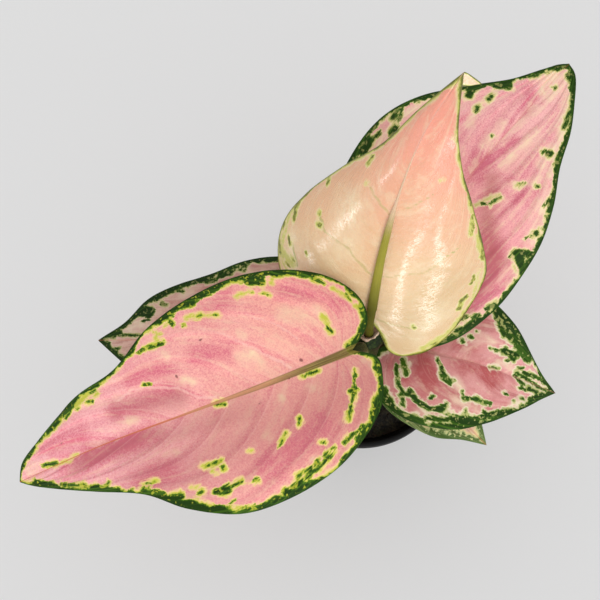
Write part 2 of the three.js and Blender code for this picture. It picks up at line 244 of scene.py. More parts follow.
def turned(profile: list[Point], sides: int) -> tuple[Array, Faces]:
    """Turns a profile round the Z axis and closes both its ends with a flat face.

    Args:
        profile: Radius and height of its points, from the underside round to the inside.
        sides: Steps round.

    Returns:
        The points and the faces.
    """
    rings = [round_axis(radius, steps_round(sides), height) for radius, height in profile]
    return np.concatenate(rings), tube_faces(len(profile), sides)


def rounded(profile: list[Place], steps: int = 5) -> list[Point]:
    """Rounds the corners of an open profile.

    Args:
        profile: Radius, height and fillet length of each corner.
        steps: Points in a fillet.

    Returns:
        The points of the rounded profile.
    """
    corners = np.array(profile)[:, :2]
    points = []
    for i, (r, z, fillet) in enumerate(profile):
        if fillet == 0:
            points.append((r, z))
            continue
        here = corners[i]
        start, end = (here + unit(other[None] - here)[0] * fillet for other in corners[[i - 1, i + 1]])
        for f in np.linspace(0, 1, steps):
            points.append(tuple((start * (1 - f) ** 2 + here * 2 * f * (1 - f) + end * f**2).tolist()))
    return points


def stand_for(piece: Piece, node: str) -> Piece:
    """Puts a piece in the place of its CAD node, on the plant's one body."""
    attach(piece, "root")
    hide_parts(node)
    return piece


# ------------------------------------------------------------------ shader wiring


class Wiring:
    """Adds nodes to one node tree and joins them."""

    def __init__(self, tree: bpy.types.NodeTree) -> None:
        """Works on this tree."""
        self.tree = tree

    def node(self, kind: str, **settings: object) -> Node:
        """Adds a node of this kind with its settings."""
        node = self.tree.nodes.new(kind)
        for key, value in settings.items():
            setattr(node, key, value)
        return node

    def feed(self, socket: Socket, value: object) -> None:
        """Joins a socket to another one, or sets its plain value."""
        if isinstance(value, Socket):
            self.tree.links.new(value, socket)
        elif socket.type == "RGBA":
            socket.default_value = (*value, 1.0)
        else:
            socket.default_value = value

    def feed_all(self, node: Node, **values: object) -> None:
        """Feeds a node's inputs by name, with underscores for the blanks."""
        for key, value in values.items():
            self.feed(node.inputs[key.replace("_", " ")], value)

    def fed(self, kind: str, inputs: dict[int | str, object], **settings: object) -> Sockets:
        """Adds a node with its settings, feeds its inputs and gives its outputs."""
        node = self.node(kind, **settings)
        for key, value in inputs.items():
            self.feed(node.inputs[key], value)
        return node.outputs

    def math(self, operation: str, *values: object, clamp: bool = False) -> Socket:
        """Adds a Math node on the values and gives its result."""
        return self.fed("ShaderNodeMath", dict(enumerate(values)), operation=operation, use_clamp=clamp)[0]

    def times(self, first: object, second: object) -> Socket:
        """Multiplies two values."""
        return self.math("MULTIPLY", first, second)

    def plus(self, first: object, second: object) -> Socket:
        """Adds two values."""
        return self.math("ADD", first, second)

    def less(self, first: object, second: object) -> Socket:
        """Takes the second value from the first."""
        return self.math("SUBTRACT", first, second)

    def scaled(self, value: object, factor: object, offset: object) -> Socket:
        """Multiplies a value by a factor and adds an offset."""
        return self.math("MULTIPLY_ADD", value, factor, offset)

    def rise(self, value: object, low: object, high: object, start: float = 0.0, end: float = 1.0) -> Socket:
        """Maps low..high smoothly to start..end, flat outside."""
        spans = {"Value": value, "From Min": low, "From Max": high, "To Min": start, "To Max": end}
        return self.fed("ShaderNodeMapRange", spans, interpolation_type="SMOOTHSTEP")["Result"]

    def blend(self, share: object, first: object, second: object) -> Socket:
        """Blends two colours by a share."""
        return self.fed("ShaderNodeMix", {0: share, 6: first, 7: second}, data_type="RGBA")[2]

    def noise(self, place: object, scale: float, detail: float = 2.0, roughness: float = 0.5,
              distortion: float = 0.0) -> Socket:
        """Adds a noise texture and gives its value, 0 to 1."""
        looks = {"Scale": scale, "Detail": detail, "Roughness": roughness, "Distortion": distortion}
        return self.fed("ShaderNodeTexNoise", {"Vector": place, **looks})["Fac"]

    def painted(self, name: str) -> Socket:
        """Reads a painted value of the mesh."""
        return self.node("ShaderNodeAttribute", attribute_name=name).outputs["Fac"]

    def vector(self, x: object, y: object, z: object) -> Socket:
        """Joins three values to a vector."""
        return self.fed("ShaderNodeCombineXYZ", {0: x, 1: y, 2: z})[0]

    def local(self) -> Socket:
        """Places on the object, in metres."""
        return self.node("ShaderNodeTexCoord").outputs["Object"]

    def bump(self, height: object, distance: float) -> Socket:
        """Adds a Bump node on a height that runs from 0 to 1 over the distance in metres."""
        return self.fed("ShaderNodeBump", {"Distance": distance, "Height": height})["Normal"]


class Effect:
    """A shader node group with named inputs and outputs, built once and used by several finishes."""

    def __init__(self, name: str, inputs: dict[str, str], outputs: dict[str, str]) -> None:
        """Makes the empty group.

        Args:
            name: Its name.
            inputs: Socket type of each input, by name.
            outputs: Socket type of each output, by name.
        """
        self.tree = bpy.data.node_groups.new(name, "ShaderNodeTree")
        for in_out, sockets in (("INPUT", inputs), ("OUTPUT", outputs)):
            for key, kind in sockets.items():
                self.tree.interface.new_socket(key, in_out=in_out, socket_type=kind)
        self.wire = Wiring(self.tree)
        self.given = self.wire.node("NodeGroupInput").outputs
        self.out = self.wire.node("NodeGroupOutput")

    def give(self, **results: object) -> None:
        """Joins the group's outputs, with underscores for the blanks in their names."""
        self.wire.feed_all(self.out, **results)

    def place_in(self, wire: Wiring, **values: object) -> Sockets:
        """Places the group in a material.

        Args:
            wire: The material's wiring.
            values: Inputs, with underscores for the blanks in their names.

        Returns:
            The placed group's outputs.
        """
        node = wire.node("ShaderNodeGroup", node_tree=self.tree)
        wire.feed_all(node, **values)
        return node.outputs


def sockets(**names: str) -> dict[str, str]:
    """Socket types by socket name, from the names of each kind with commas between them."""
    return {name: f"NodeSocket{kind}" for kind, listed in names.items() for name in listed.split(", ")}


class Effects:
    """The effects that the finishes share."""

    def __init__(self) -> None:
        """Builds every group."""
        self.flesh = self._flesh()
        self.markings = self._markings()
        self.veins = self._veins()
        self.skin = self._skin()
        self.crumble = self._crumble()

    @staticmethod
    def _flesh() -> Effect:
        """Soft colour of a blade between its markings: base to tip, streaked along the side veins, deepened
        by strokes that are partly painted shade and by painted shade just past each side vein.
        """
        group = Effect(
            "Leaf flesh",
            sockets(Color="Base, Tip, Deep, Pale", Vector="Place, Vein place",
                    Float="Along, Across, Flush, Streaks, Cream, Grain, Shade"),
            sockets(Color="Color"),
        )
        wire, given = group.wire, group.given
        place, run, flush = given["Place"], given["Vein place"], given["Flush"]
        reach = wire.plus(given["Along"], wire.scaled(wire.noise(place, 0.035), 0.3, -0.15))
        colour = wire.blend(wire.rise(reach, 0.1, 0.9), given["Base"], given["Tip"])
        wide = wire.noise(run, 0.7, 3.0, 0.6, 0.5)
        mottle = wire.noise(place, 0.16, 4.0, 0.65, 0.4)
        thin = wire.noise(run, 2.4, 2.0, 0.6, 0.3)
        streak = wire.scaled(mottle, 0.3, wire.scaled(thin, 0.15, wire.times(wide, 0.55)))
        grain = wire.less(wire.noise(place, 1.3, 2.0, 0.8), 0.45)
        deep = wire.times(wire.rise(streak, 0.43, 0.6), given["Streaks"])
        deep = wire.scaled(grain, wire.times(given["Grain"], 1.6), deep)
        deep = wire.scaled(wire.rise(given["Across"], 0.2, 0.9), 0.12, deep)
        # Deeper pink from the painted strokes, partly painted shade, and the painted shade just past each
        # side vein.
        deep = wire.math("ADD", wire.plus(deep, given["Shade"]), wire.math("MAXIMUM", flush, 0.0), clamp=True)
        colour = wire.blend(deep, colour, given["Deep"])
        light = wire.times(wire.noise(run, 0.9, 3.0, 0.6, 0.6), 0.65)
        light = wire.scaled(wire.noise(place, 0.2, 4.0, 0.7, 0.5), 0.35, light)
        cream = wire.times(wire.rise(light, 0.49, 0.63), given["Cream"])
        bare = wire.times(wire.math("MINIMUM", flush, 0.0), wire.rise(mottle, 0.35, 0.6, 0.5, 1.3))
        cream = wire.math("SUBTRACT", cream, bare, clamp=True)
        group.give(Color=wire.blend(cream, colour, given["Pale"]))
        return group

    @staticmethod
    def _markings() -> Effect:
        """Masks of the green marks, their fringe and lighter parts, from painted distances in mm."""
        group = Effect(
            "Green markings",
            sockets(Float="Green, Yellow, Rim, Margin, Ragged, Blotched, Fringe", Vector="Place, Vein place"),
            sockets(Float="Green mask, Fringe mask, Halo mask, Light mask, Dots mask"),
        )
        wire, given = group.wire, group.given
        place, run, rim = given["Place"], given["Vein place"], given["Rim"]
        fine = wire.less(wire.noise(place, 0.45, 4.0, 0.7), 0.5)
        drawn = wire.less(wire.noise(run, 3.0, 3.0, 0.65), 0.5)
        ragged = wire.times(wire.plus(fine, drawn), wire.times(given["Ragged"], 2.6))
        slow = wire.rise(wire.noise(place, 0.06), 0.32, 0.68, 0.4, 1.6)
        blotch = wire.less(wire.noise(place, 0.26, 3.0, 0.6), 0.5)
        edge = wire.less(rim, wire.times(given["Margin"], slow))
        edge = wire.plus(edge, wire.times(blotch, given["Blotched"]))
        edge = wire.math("MINIMUM", wire.scaled(ragged, 0.5, edge), wire.less(rim, 0.55))
        both = wire.math("SMOOTH_MIN", edge, wire.plus(given["Green"], ragged), 0.6)
        uneven = wire.rise(wire.noise(place, 0.13), 0.3, 0.65, 0.25, 1.6)
        share = wire.math("DIVIDE", both, wire.math("MAXIMUM", wire.times(given["Fringe"], uneven), 0.05))
        yellow = wire.plus(given["Yellow"], wire.times(ragged, 1.3))
        light = wire.times(wire.rise(wire.noise(run, 1.3, 3.0, 0.7), 0.47, 0.7), 0.75)
        dots = wire.rise(wire.noise(place, 0.42, 2.0, 0.55, 0.3), 0.56, 0.64)
        group.give(
            Green_mask=wire.rise(both, 0.35, -0.3),
            Fringe_mask=wire.math("MAXIMUM", wire.rise(share, 1.0, 0.2), wire.rise(yellow, 0.6, -1.0)),
            Halo_mask=wire.math("MAXIMUM", wire.rise(share, 1.9, 0.7), wire.rise(yellow, 1.6, -0.4)),
            Light_mask=wire.math("MAXIMUM", light, wire.rise(both, -1.0, 0.1)),
            Dots_mask=wire.times(dots, wire.rise(rim, 0.6, 1.3)),
        )
        return group

    @staticmethod
    def _veins() -> Effect:
        """Lines of the side veins and a painted shade just past each one on its tip side, from a painted
        count that passes a whole number at each vein.
        """
        group = Effect("Side veins", sockets(Float="Count, Gap, Width, Across"), sockets(Float="Line, Shade"))
        wire, given = group.wire, group.given
        past = wire.math("WRAP", given["Count"], 0.5, -0.5)
        gap = wire.times(wire.math("ABSOLUTE", past), given["Gap"])
        fade = wire.rise(given["Across"], 0.95, 0.3)
        # Painted shade: a soft dark band just past each vein, on its tip side.
        shade = wire.times(wire.rise(past, -0.02, 0.05), wire.rise(past, 0.4, 0.03))
        group.give(Line=wire.times(wire.rise(gap, given["Width"], 0.0), fade), Shade=wire.times(shade, fade))
        return group

    @staticmethod
    def _skin() -> Effect:
        """Fine relief of living skin, small cells and faint ribs along the veins, and where it shines."""
        group = Effect(
            "Living skin", sockets(Vector="Place, Vein place", Float="Cells, Ribs"),
            sockets(Float="Height, Shine, Gloss"),
        )
        wire, given = group.wire, group.given
        place, run = given["Place"], given["Vein place"]
        cells = wire.times(wire.noise(place, 2.2, 2.0, 0.6), given["Cells"])
        ribs = wire.times(wire.noise(run, 6.0, 2.0, 0.55), given["Ribs"])
        lines = wire.plus(wire.noise(run, 9.0, 2.0, 0.6), wire.noise(place, 1.1, 2.0, 0.7))
        group.give(Height=wire.plus(cells, ribs), Shine=wire.noise(place, 0.09, 3.0, 0.6),
                   Gloss=wire.rise(lines, 0.88, 1.1, 0.12, 1.0))
        return group

    @staticmethod
    def _crumble() -> Effect:
        """Colour and relief of damp, crumbly potting soil and of the bits in it."""
        group = Effect(
            "Damp crumbs", sockets(Vector="Place", Color="Dark, Light, Moss", Float="Scale"),
            sockets(Color="Color", Float="Height"),
        )
        wire, given = group.wire, group.given
        spread = {0: given["Place"], "Scale": given["Scale"]}
        place = wire.fed("ShaderNodeVectorMath", spread, operation="SCALE")[0]
        lumps = wire.noise(place, 1.0, 4.0, 0.7)
        colour = wire.blend(wire.rise(lumps, 0.4, 0.75), given["Dark"], given["Light"])
        moss = wire.rise(wire.noise(place, 0.35, 3.0, 0.6), 0.55, 0.75)
        group.give(Color=wire.blend(wire.times(moss, 0.6), colour, given["Moss"]), Height=lumps)
        return group


# ------------------------------------------------------------------ finishes


def new_material(name: str) -> tuple[Material, Wiring, Node]:
    """Makes a material with a bare Principled BSDF.

    Args:
        name: The material's name.

    Returns:
        The material, its wiring and the shader node.
    """
    material = bpy.data.materials.new(name)
    material.use_nodes = True
    material.node_tree.nodes.clear()
    wire = Wiring(material.node_tree)
    shader = wire.node("ShaderNodeBsdfPrincipled")
    wire.feed_all(wire.node("ShaderNodeOutputMaterial"), Surface=shader.outputs[0])
    return material, wire, shader


class Face(Enum):
    """The two faces of a blade."""

    UPPER = "upper"
    UNDER = "under"


@dataclass(frozen=True)
class BladeFinish:
    """How one leaf's blade looks. Colours are linear."""

    base: Colour
    tip: Colour
    deep: Colour
    pale: Colour
    streaks: float
    margin: float
    green: Colour = (0.012, 0.042, 0.002)
    mid_green: Colour = (0.06, 0.15, 0.008)
    fringe: Colour = (0.5, 0.52, 0.04)
    fringe_share: float = 0.9
    halo: Colour = (0.86, 0.66, 0.28)
    halo_share: float = 0.6
    dots: float = 0.7
    speck: Colour = (0.12, 0.02, 0.025)
    speck_share: float = 0.75
    rib: Colour = (0.12, 0.095, 0.012)
    rib_light: Colour = (0.3, 0.25, 0.05)
    rib_far: Colour = (0.56, 0.27, 0.13)
    rib_end: Colour = (0.6, 0.17, 0.08)
    rib_turn: Point = (0.1, 0.28)
    rib_share: float = 0.9
    vein: Colour = (0.85, 0.5, 0.42)
    vein_far: Colour = (0.85, 0.5, 0.42)
    cream: float = 0.3
    grain: float = 0.5
    ragged: float = 1.0
    blotched: float = 5.0
    fringe_width: float = 0.9
    # Painted shade: the colour the blade darkens to, and how far.
    dull: Colour = (0.42, 0.3, 0.3)
    painted_shade_share: float = 1.0
    vein_share: float = 0.1
    drawn_share: float = 0.6
    # Share of the painted shade just past each side vein.
    vein_shade: float = 0.25
    vein_width: float = 0.5
    vein_gap: float = 24.0
    roughness: float = 0.45
    specular: float = 0.12
    coat: float = 0.0
    coat_from: Point = (-14.0, 4.0)
    coat_roughness: float = 0.16
    cells: float = 0.5
    ribs: float = 0.6
    relief: float = 0.00022
    under: Colour = (0.55, 0.5, 0.36)
    under_tint: float = 0.3
    under_dull: float = 0.1
    glow: float = 0.06
    glow_reach: Place = (0.003, 0.0012, 0.0006)

    def midrib(self, wire: Wiring, colour: Socket, along: Socket, leaf: Socket) -> Socket:
        """Lays the midrib's fibres and lines over the blade's colour.

        Args:
            wire: The material's wiring.
            colour: The blade's colour.
            along: Share of the blade's length.
            leaf: The leaf's own slice of the noise.

        Returns:
            The colour with the midrib.
        """
        band = wire.painted("rib_band")
        fibre = wire.vector(wire.times(wire.painted("plan_s"), 0.05),
                            wire.times(wire.painted("plan_t"), 1.6), leaf)
        near = wire.blend(wire.rise(wire.noise(fibre, 1.0, 2.0, 0.6), 0.4, 0.65), self.rib, self.rib_light)
        rib = wire.blend(wire.rise(along, *self.rib_turn), near, self.rib_far)
        rib = wire.blend(wire.rise(along, 0.4, 0.55), rib, self.rib_end)
        lined = wire.rise(wire.scaled(wire.noise(fibre, 1.5, 2.0, 0.6), 1.2, band), 0.9, 1.6, 0.0, 0.55)
        rib = wire.blend(lined, rib, wire.blend(wire.rise(along, 0.28, 0.45), self.rib, self.rib_end))
        return wire.blend(wire.times(wire.rise(band, 1.2, 0.8), self.rib_share), colour, rib)

    def material(self, effects: Effects, blade: str, face: Face) -> Material:
        """Builds the material of one face.

        Args:
            effects: The shared shader groups.
            blade: The blade's name.
            face: Which face it is for.

        Returns:
            The material.
        """
        material, wire, shader = new_material(f"{blade}_{face.value}")
        names = ("leaf", "vein_count", "along", "across")
        leaf, count, along, across = (wire.painted(name) for name in names)
        place = wire.vector(wire.painted("plan_s"), wire.painted("plan_t"), leaf)
        run = wire.vector(wire.painted("vein_run"), wire.times(count, 4.0), leaf)
        veins = effects.veins.place_in(
            wire, Count=count, Gap=self.vein_gap, Width=self.vein_width, Across=across)
        flesh = effects.flesh.place_in(
            wire, Base=self.base, Tip=self.tip, Deep=self.deep, Pale=self.pale, Along=along,
            Flush=wire.painted("flush"), Place=place, Vein_place=run, Streaks=self.streaks,
            Cream=self.cream, Grain=self.grain, Shade=wire.times(veins["Shade"], self.vein_shade),
            Across=across)
        marks = effects.markings.place_in(
            wire, Green=wire.painted("green"), Yellow=wire.painted("yellow"), Rim=wire.painted("rim"),
            Margin=self.margin, Ragged=self.ragged, Blotched=self.blotched, Fringe=self.fringe_width,
            Place=place, Vein_place=run)
        skin = effects.skin.place_in(wire, Place=place, Vein_place=run, Cells=self.cells, Ribs=self.ribs)
        vein = wire.blend(wire.rise(across, 0.45, 0.7), self.vein, self.vein_far)
        drawn = wire.rise(wire.painted("vein_line"), 0.7, -0.15)
        colour = flesh["Color"]
        # Painted shade goes on first, over the flesh; then the vein lines and the marks' halo and fringe.
        for mask, share, over in (
            (wire.painted("dull"), self.painted_shade_share, self.dull), (veins["Line"], self.vein_share, vein),
            (drawn, self.drawn_share, vein), (marks["Halo mask"], self.halo_share, self.halo),
            (marks["Fringe mask"], self.fringe_share, self.fringe),
        ):
            colour = wire.blend(wire.times(mask, share), colour, over)
        green = wire.blend(marks["Light mask"], self.green, self.mid_green)
        green = wire.blend(wire.times(marks["Dots mask"], self.dots), green, self.fringe)
        colour = self.midrib(wire, wire.blend(marks["Green mask"], colour, green), along, leaf)
        speck = wire.times(wire.rise(wire.painted("speck"), 0.3, -0.3), self.speck_share)
        colour = wire.blend(speck, colour, self.speck)
        gloss = self.roughness
        if face is Face.UNDER:
            colour = wire.blend(self.under_tint, colour, self.under)
            gloss += self.under_dull
        if self.coat:
            sheen = wire.rise(wire.painted("plan_s"), *self.coat_from, 0.0, self.coat)
            sheen = wire.times(sheen, wire.scaled(marks["Green mask"], -0.8, 1.0))
            wire.feed_all(shader, Coat_Weight=wire.times(skin["Gloss"], sheen))
        wire.feed_all(
            shader, Base_Color=colour, Roughness=wire.scaled(skin["Shine"], 0.16, gloss - 0.08),
            Specular_IOR_Level=self.specular, Coat_Roughness=self.coat_roughness,
            Subsurface_Weight=self.glow, Subsurface_Radius=self.glow_reach,
            Normal=wire.bump(skin["Height"], self.relief))
        return material


@dataclass(frozen=True)
class StalkFinish:
    """A leaf's stalk and the raised midrib under its blade. Colours are linear."""

    foot: Colour = (0.36, 0.33, 0.13)
    top: Colour = (0.016, 0.026, 0.003)
    rib: Colour = (0.4, 0.4, 0.1)
    rib_end: Colour = (0.62, 0.45, 0.26)
    rib_turn: Point = (1.4, 1.62)
    fleck: Colour = (0.05, 0.07, 0.012)
    roughness: float = 0.38

    def material(self, effects: Effects, name: str) -> Material:
        """Builds the material: foot, top of the stalk, midrib and its end follow each other."""
        material, wire, shader = new_material(name)
        along, turn, leaf = (wire.painted(name) for name in ("stalk_along", "stalk_turn", "leaf"))
        place, lines = (wire.vector(wire.times(along, lengthwise), wire.times(turn, round_it), leaf)
                        for lengthwise, round_it in ((30.0, 6.0), (6.0, 24.0)))
        colour = wire.blend(wire.rise(along, 0.05, 0.8), self.foot, self.top)
        colour = wire.blend(wire.rise(along, 0.95, 1.25), colour, self.rib)
        colour = wire.blend(wire.rise(along, *self.rib_turn), colour, self.rib_end)
        skin = effects.skin.place_in(wire, Place=place, Vein_place=lines, Cells=0.4, Ribs=0.5)
        fleck = wire.rise(wire.noise(lines, 1.0, 3.0, 0.6), 0.5, 0.7)
        wire.feed_all(
            shader, Base_Color=wire.blend(wire.times(fleck, 0.3), colour, self.fleck),
            Roughness=wire.scaled(skin["Shine"], 0.2, self.roughness - 0.1), Specular_IOR_Level=0.14,
            Subsurface_Weight=0.05, Subsurface_Radius=(0.002, 0.0015, 0.0005),
            Normal=wire.bump(skin["Height"], 0.0004))
        return material


@dataclass(frozen=True)
class SheathFinish:
    """The cup round the young stalk: dark green outside, pinkish brown and papery inside and at its edge."""

    name: str = "sheath"
    green: Colour = (0.006, 0.014, 0.002)
    light: Colour = (0.03, 0.055, 0.006)
    papery: Colour = (0.8, 0.6, 0.45)
    papery_dark: Colour = (0.36, 0.2, 0.12)
    dry_edge: Colour = (0.66, 0.52, 0.38)
    fibres: Place = (900.0, 900.0, 160.0)

    def material(self, effects: Effects) -> Material:
        """Builds the material from the painted share of dry skin."""
        material, wire, shader = new_material(self.name)
        lines = wire.fed("ShaderNodeVectorMath", {0: wire.local(), 1: self.fibres}, operation="MULTIPLY")[0]
        dry = wire.painted("dry")
        colour = wire.blend(wire.rise(wire.noise(lines, 1.0, 3.0, 0.6), 0.42, 0.7), self.green, self.light)
        paper = wire.rise(wire.noise(lines, 1.6, 3.0, 0.6), 0.4, 0.7)
        paper = wire.blend(paper, self.papery, self.papery_dark)
        colour = wire.blend(wire.rise(dry, 0.25, 0.5), colour, paper)
        colour = wire.blend(wire.rise(dry, 0.8, 1.0), colour, self.dry_edge)
        skin = effects.skin.place_in(wire, Place=lines, Vein_place=lines, Cells=0.5, Ribs=0.5)
        wire.feed_all(shader, Base_Color=colour, Roughness=wire.scaled(dry, 0.2, 0.4),
                      Specular_IOR_Level=0.16, Normal=wire.bump(skin["Height"], 0.0005))
        return material


@dataclass(frozen=True)
class CrumbFinish:
    """Potting soil and the bits in it."""

    name: str
    dark: Colour
    light: Colour
    moss: Colour
    scale: float = 420.0
    roughness: float = 0.92
    relief: float = 0.001

    def material(self, effects: Effects) -> Material:
        """Builds the material."""
        material, wire, shader = new_material(self.name)
        crumbs = effects.crumble.place_in(
            wire, Place=wire.local(), Dark=self.dark, Light=self.light, Moss=self.moss, Scale=self.scale)
        wire.feed_all(
            shader, Base_Color=crumbs["Color"],
            Roughness=wire.scaled(crumbs["Height"], 0.25, self.roughness - 0.15),
            Normal=wire.bump(crumbs["Height"], self.relief))
        return material


@dataclass(frozen=True)
class PotFinish:
    """Thin black moulded plastic, scuffed and a little dusty."""

    name: str = "black_nursery_plastic"
    colour: Colour = (0.006, 0.006, 0.006)
    dust: Colour = (0.03, 0.027, 0.02)
    ring_gap: float = 0.0016

    def material(self) -> Material:
        """Builds the material: moulding grain, fine rings, scuffs and more dust towards the foot."""
        material, wire, shader = new_material(self.name)
        local = wire.local()
        height = wire.fed("ShaderNodeSeparateXYZ", {0: local})["Z"]
        scuffs = wire.rise(wire.noise(local, 90.0, 5.0, 0.75, 0.6), 0.55, 0.8)
        dusty = wire.times(wire.scaled(wire.rise(height, 0.02, 0.0), 0.5, 0.25), scuffs)
        rings = wire.math("SINE", wire.times(height, 2 * math.pi / self.ring_gap))
        relief = wire.scaled(rings, 0.12, wire.noise(local, 2600.0, 2.0, 0.6))
        wire.feed_all(
            shader, Base_Color=wire.blend(dusty, self.colour, self.dust),
            Roughness=wire.scaled(scuffs, 0.2, 0.58), Specular_IOR_Level=0.07,
            Normal=wire.bump(relief, 0.00012))
        return material


@dataclass(frozen=True)
class CaneFinish:
    """The short cane: green skin with tan rings where old leaves have dropped."""

    name: str = "cane"
    green: Colour = (0.14, 0.17, 0.045)
    tan: Colour = (0.3, 0.22, 0.11)

    def material(self) -> Material:
        """Builds the material from the painted share of scar."""
        material, wire, shader = new_material(self.name)
        mottle = wire.noise(wire.local(), 300.0, 4.0, 0.65)
        scar = wire.plus(wire.painted("scar"), wire.scaled(mottle, 0.6, -0.3))
        wire.feed_all(
            shader, Base_Color=wire.blend(wire.rise(scar, 0.3, 0.7), self.green, self.tan),
            Roughness=wire.scaled(mottle, 0.3, 0.4), Normal=wire.bump(mottle, 0.0008))
        return material


# ------------------------------------------------------------------ leaves


class Mark(Enum):
    """What a mark on a blade is."""

    GREEN = "green"
    YELLOW = "yellow"
    SPECK = "speck"
    # Deeper pink: in places the leaf's own rose tint, in places painted shade under folds, past veins and in
    # another leaf's shadow.
    FLUSH = "flush"
    BLANCH = "blanch"
    # Painted shade: the blade darkened where it turns away from the light or lies in another leaf's shadow.
    DULL = "dull"
    VEIN = "vein_line"


# The kinds that are painted as the distance from the nearest mark's edge.
OUTLINED = (Mark.GREEN, Mark.YELLOW, Mark.SPECK, Mark.VEIN)


@dataclass(frozen=True)
class Dab:
    """One mark: a brush stroke from one place to another, in mm along and out from the midrib."""

    kind: Mark
    start: Point
    end: Point
    width: float
    end_width: float | None = None

    def distance(self, s: Array, t: Array) -> Array:
        """Distance from the stroke's edge, negative inside it."""
        a, b = np.array(self.start), np.array(self.end)
        run = b - a
        f = ((s - a[0]) * run[0] + (t - a[1]) * run[1]) / max(float(run @ run), 1e-6)
        f = np.clip(f, 0, 1)
        last = self.width if self.end_width is None else self.end_width
        half = (self.width + (last - self.width) * f) / 2
        return np.hypot(s - a[0] - run[0] * f, t - a[1] - run[1] * f) - half


def strokes(kind: Mark, *rows: tuple[float, ...]) -> tuple[Dab, ...]:
    """Makes marks of one kind.

    Args:
        kind: What the marks are.
        rows: For each its start (along, out), its end (along, out), its width and, where it tapers,
            its end width.

    Returns:
        The marks.
    """
    return tuple(Dab(kind, row[0:2], row[2:4], *row[4:]) for row in rows)


@dataclass(frozen=True)
class Scatter:
    """Random green marks over a part of the blade that the listed ones leave bare."""

    along: Point
    out: Point
    count: int
    length: Point = (3.0, 9.0)
    width: Point = (1.4, 3.0)
    lean: Point = (0.9, 0.25)
    taper: Point = (0.4, 1.0)

    def dabs(self, rng: np.random.Generator) -> list[Dab]:
        """Draws the marks, each lying along the side veins there."""
        dabs = []
        for _ in range(self.count):
            s, t = rng.uniform(*self.along), rng.uniform(*self.out)
            lean = rng.normal(*self.lean)
            reach = rng.uniform(*self.length) / 2
            step = (reach * math.cos(lean), reach * math.sin(lean) * math.copysign(1, t))
            wide = rng.uniform(*self.width)
            dabs.append(Dab(Mark.GREEN, (s - step[0], t - step[1]), (s + step[0], t + step[1]), wide,
                            wide * rng.uniform(*self.taper)))
        return dabs


@dataclass(frozen=True)
class LeafShape:
    """The form of one leaf, in millimetres, with the names that the part's source uses."""

    midrib: tuple[Place, ...]
    left: tuple[Point, ...]
    right: tuple[Point, ...]
    fold: Point
    curl: Point
    wave: tuple[float, float, float]
    stalk: tuple[Place, ...]
    stalk_size: tuple[Point, Point]
    roll: float = 0.0
    curl_tip: Point = (1.0, 1.0)
    rib_length: float = 0.9


class Spine:
    """A smooth curve that can be asked for its place and direction at a length."""

    SAMPLES = 400

    def __init__(self, points: Array) -> None:
        """Measures the curve through the points."""
        self.places = catmull_rom(points, np.linspace(0, 1, self.SAMPLES))
        steps = np.linalg.norm(np.diff(self.places, axis=0), axis=1)
        self.lengths = np.concatenate([[0], np.cumsum(steps)])
        self.length = float(self.lengths[-1])
        self.ahead = unit(np.gradient(self.places, axis=0))

    def at(self, s: Array) -> tuple[Array, Array]:
        """Gives places and directions at the lengths s. Past its ends the curve runs on straight."""
        place, ahead = (np.stack([np.interp(s, self.lengths, column) for column in table.T], -1)
                        for table in (self.places, self.ahead))
        ahead = unit(ahead)
        beyond = np.minimum(s, 0) + np.maximum(s - self.length, 0)
        return place + ahead * beyond[:, None], ahead


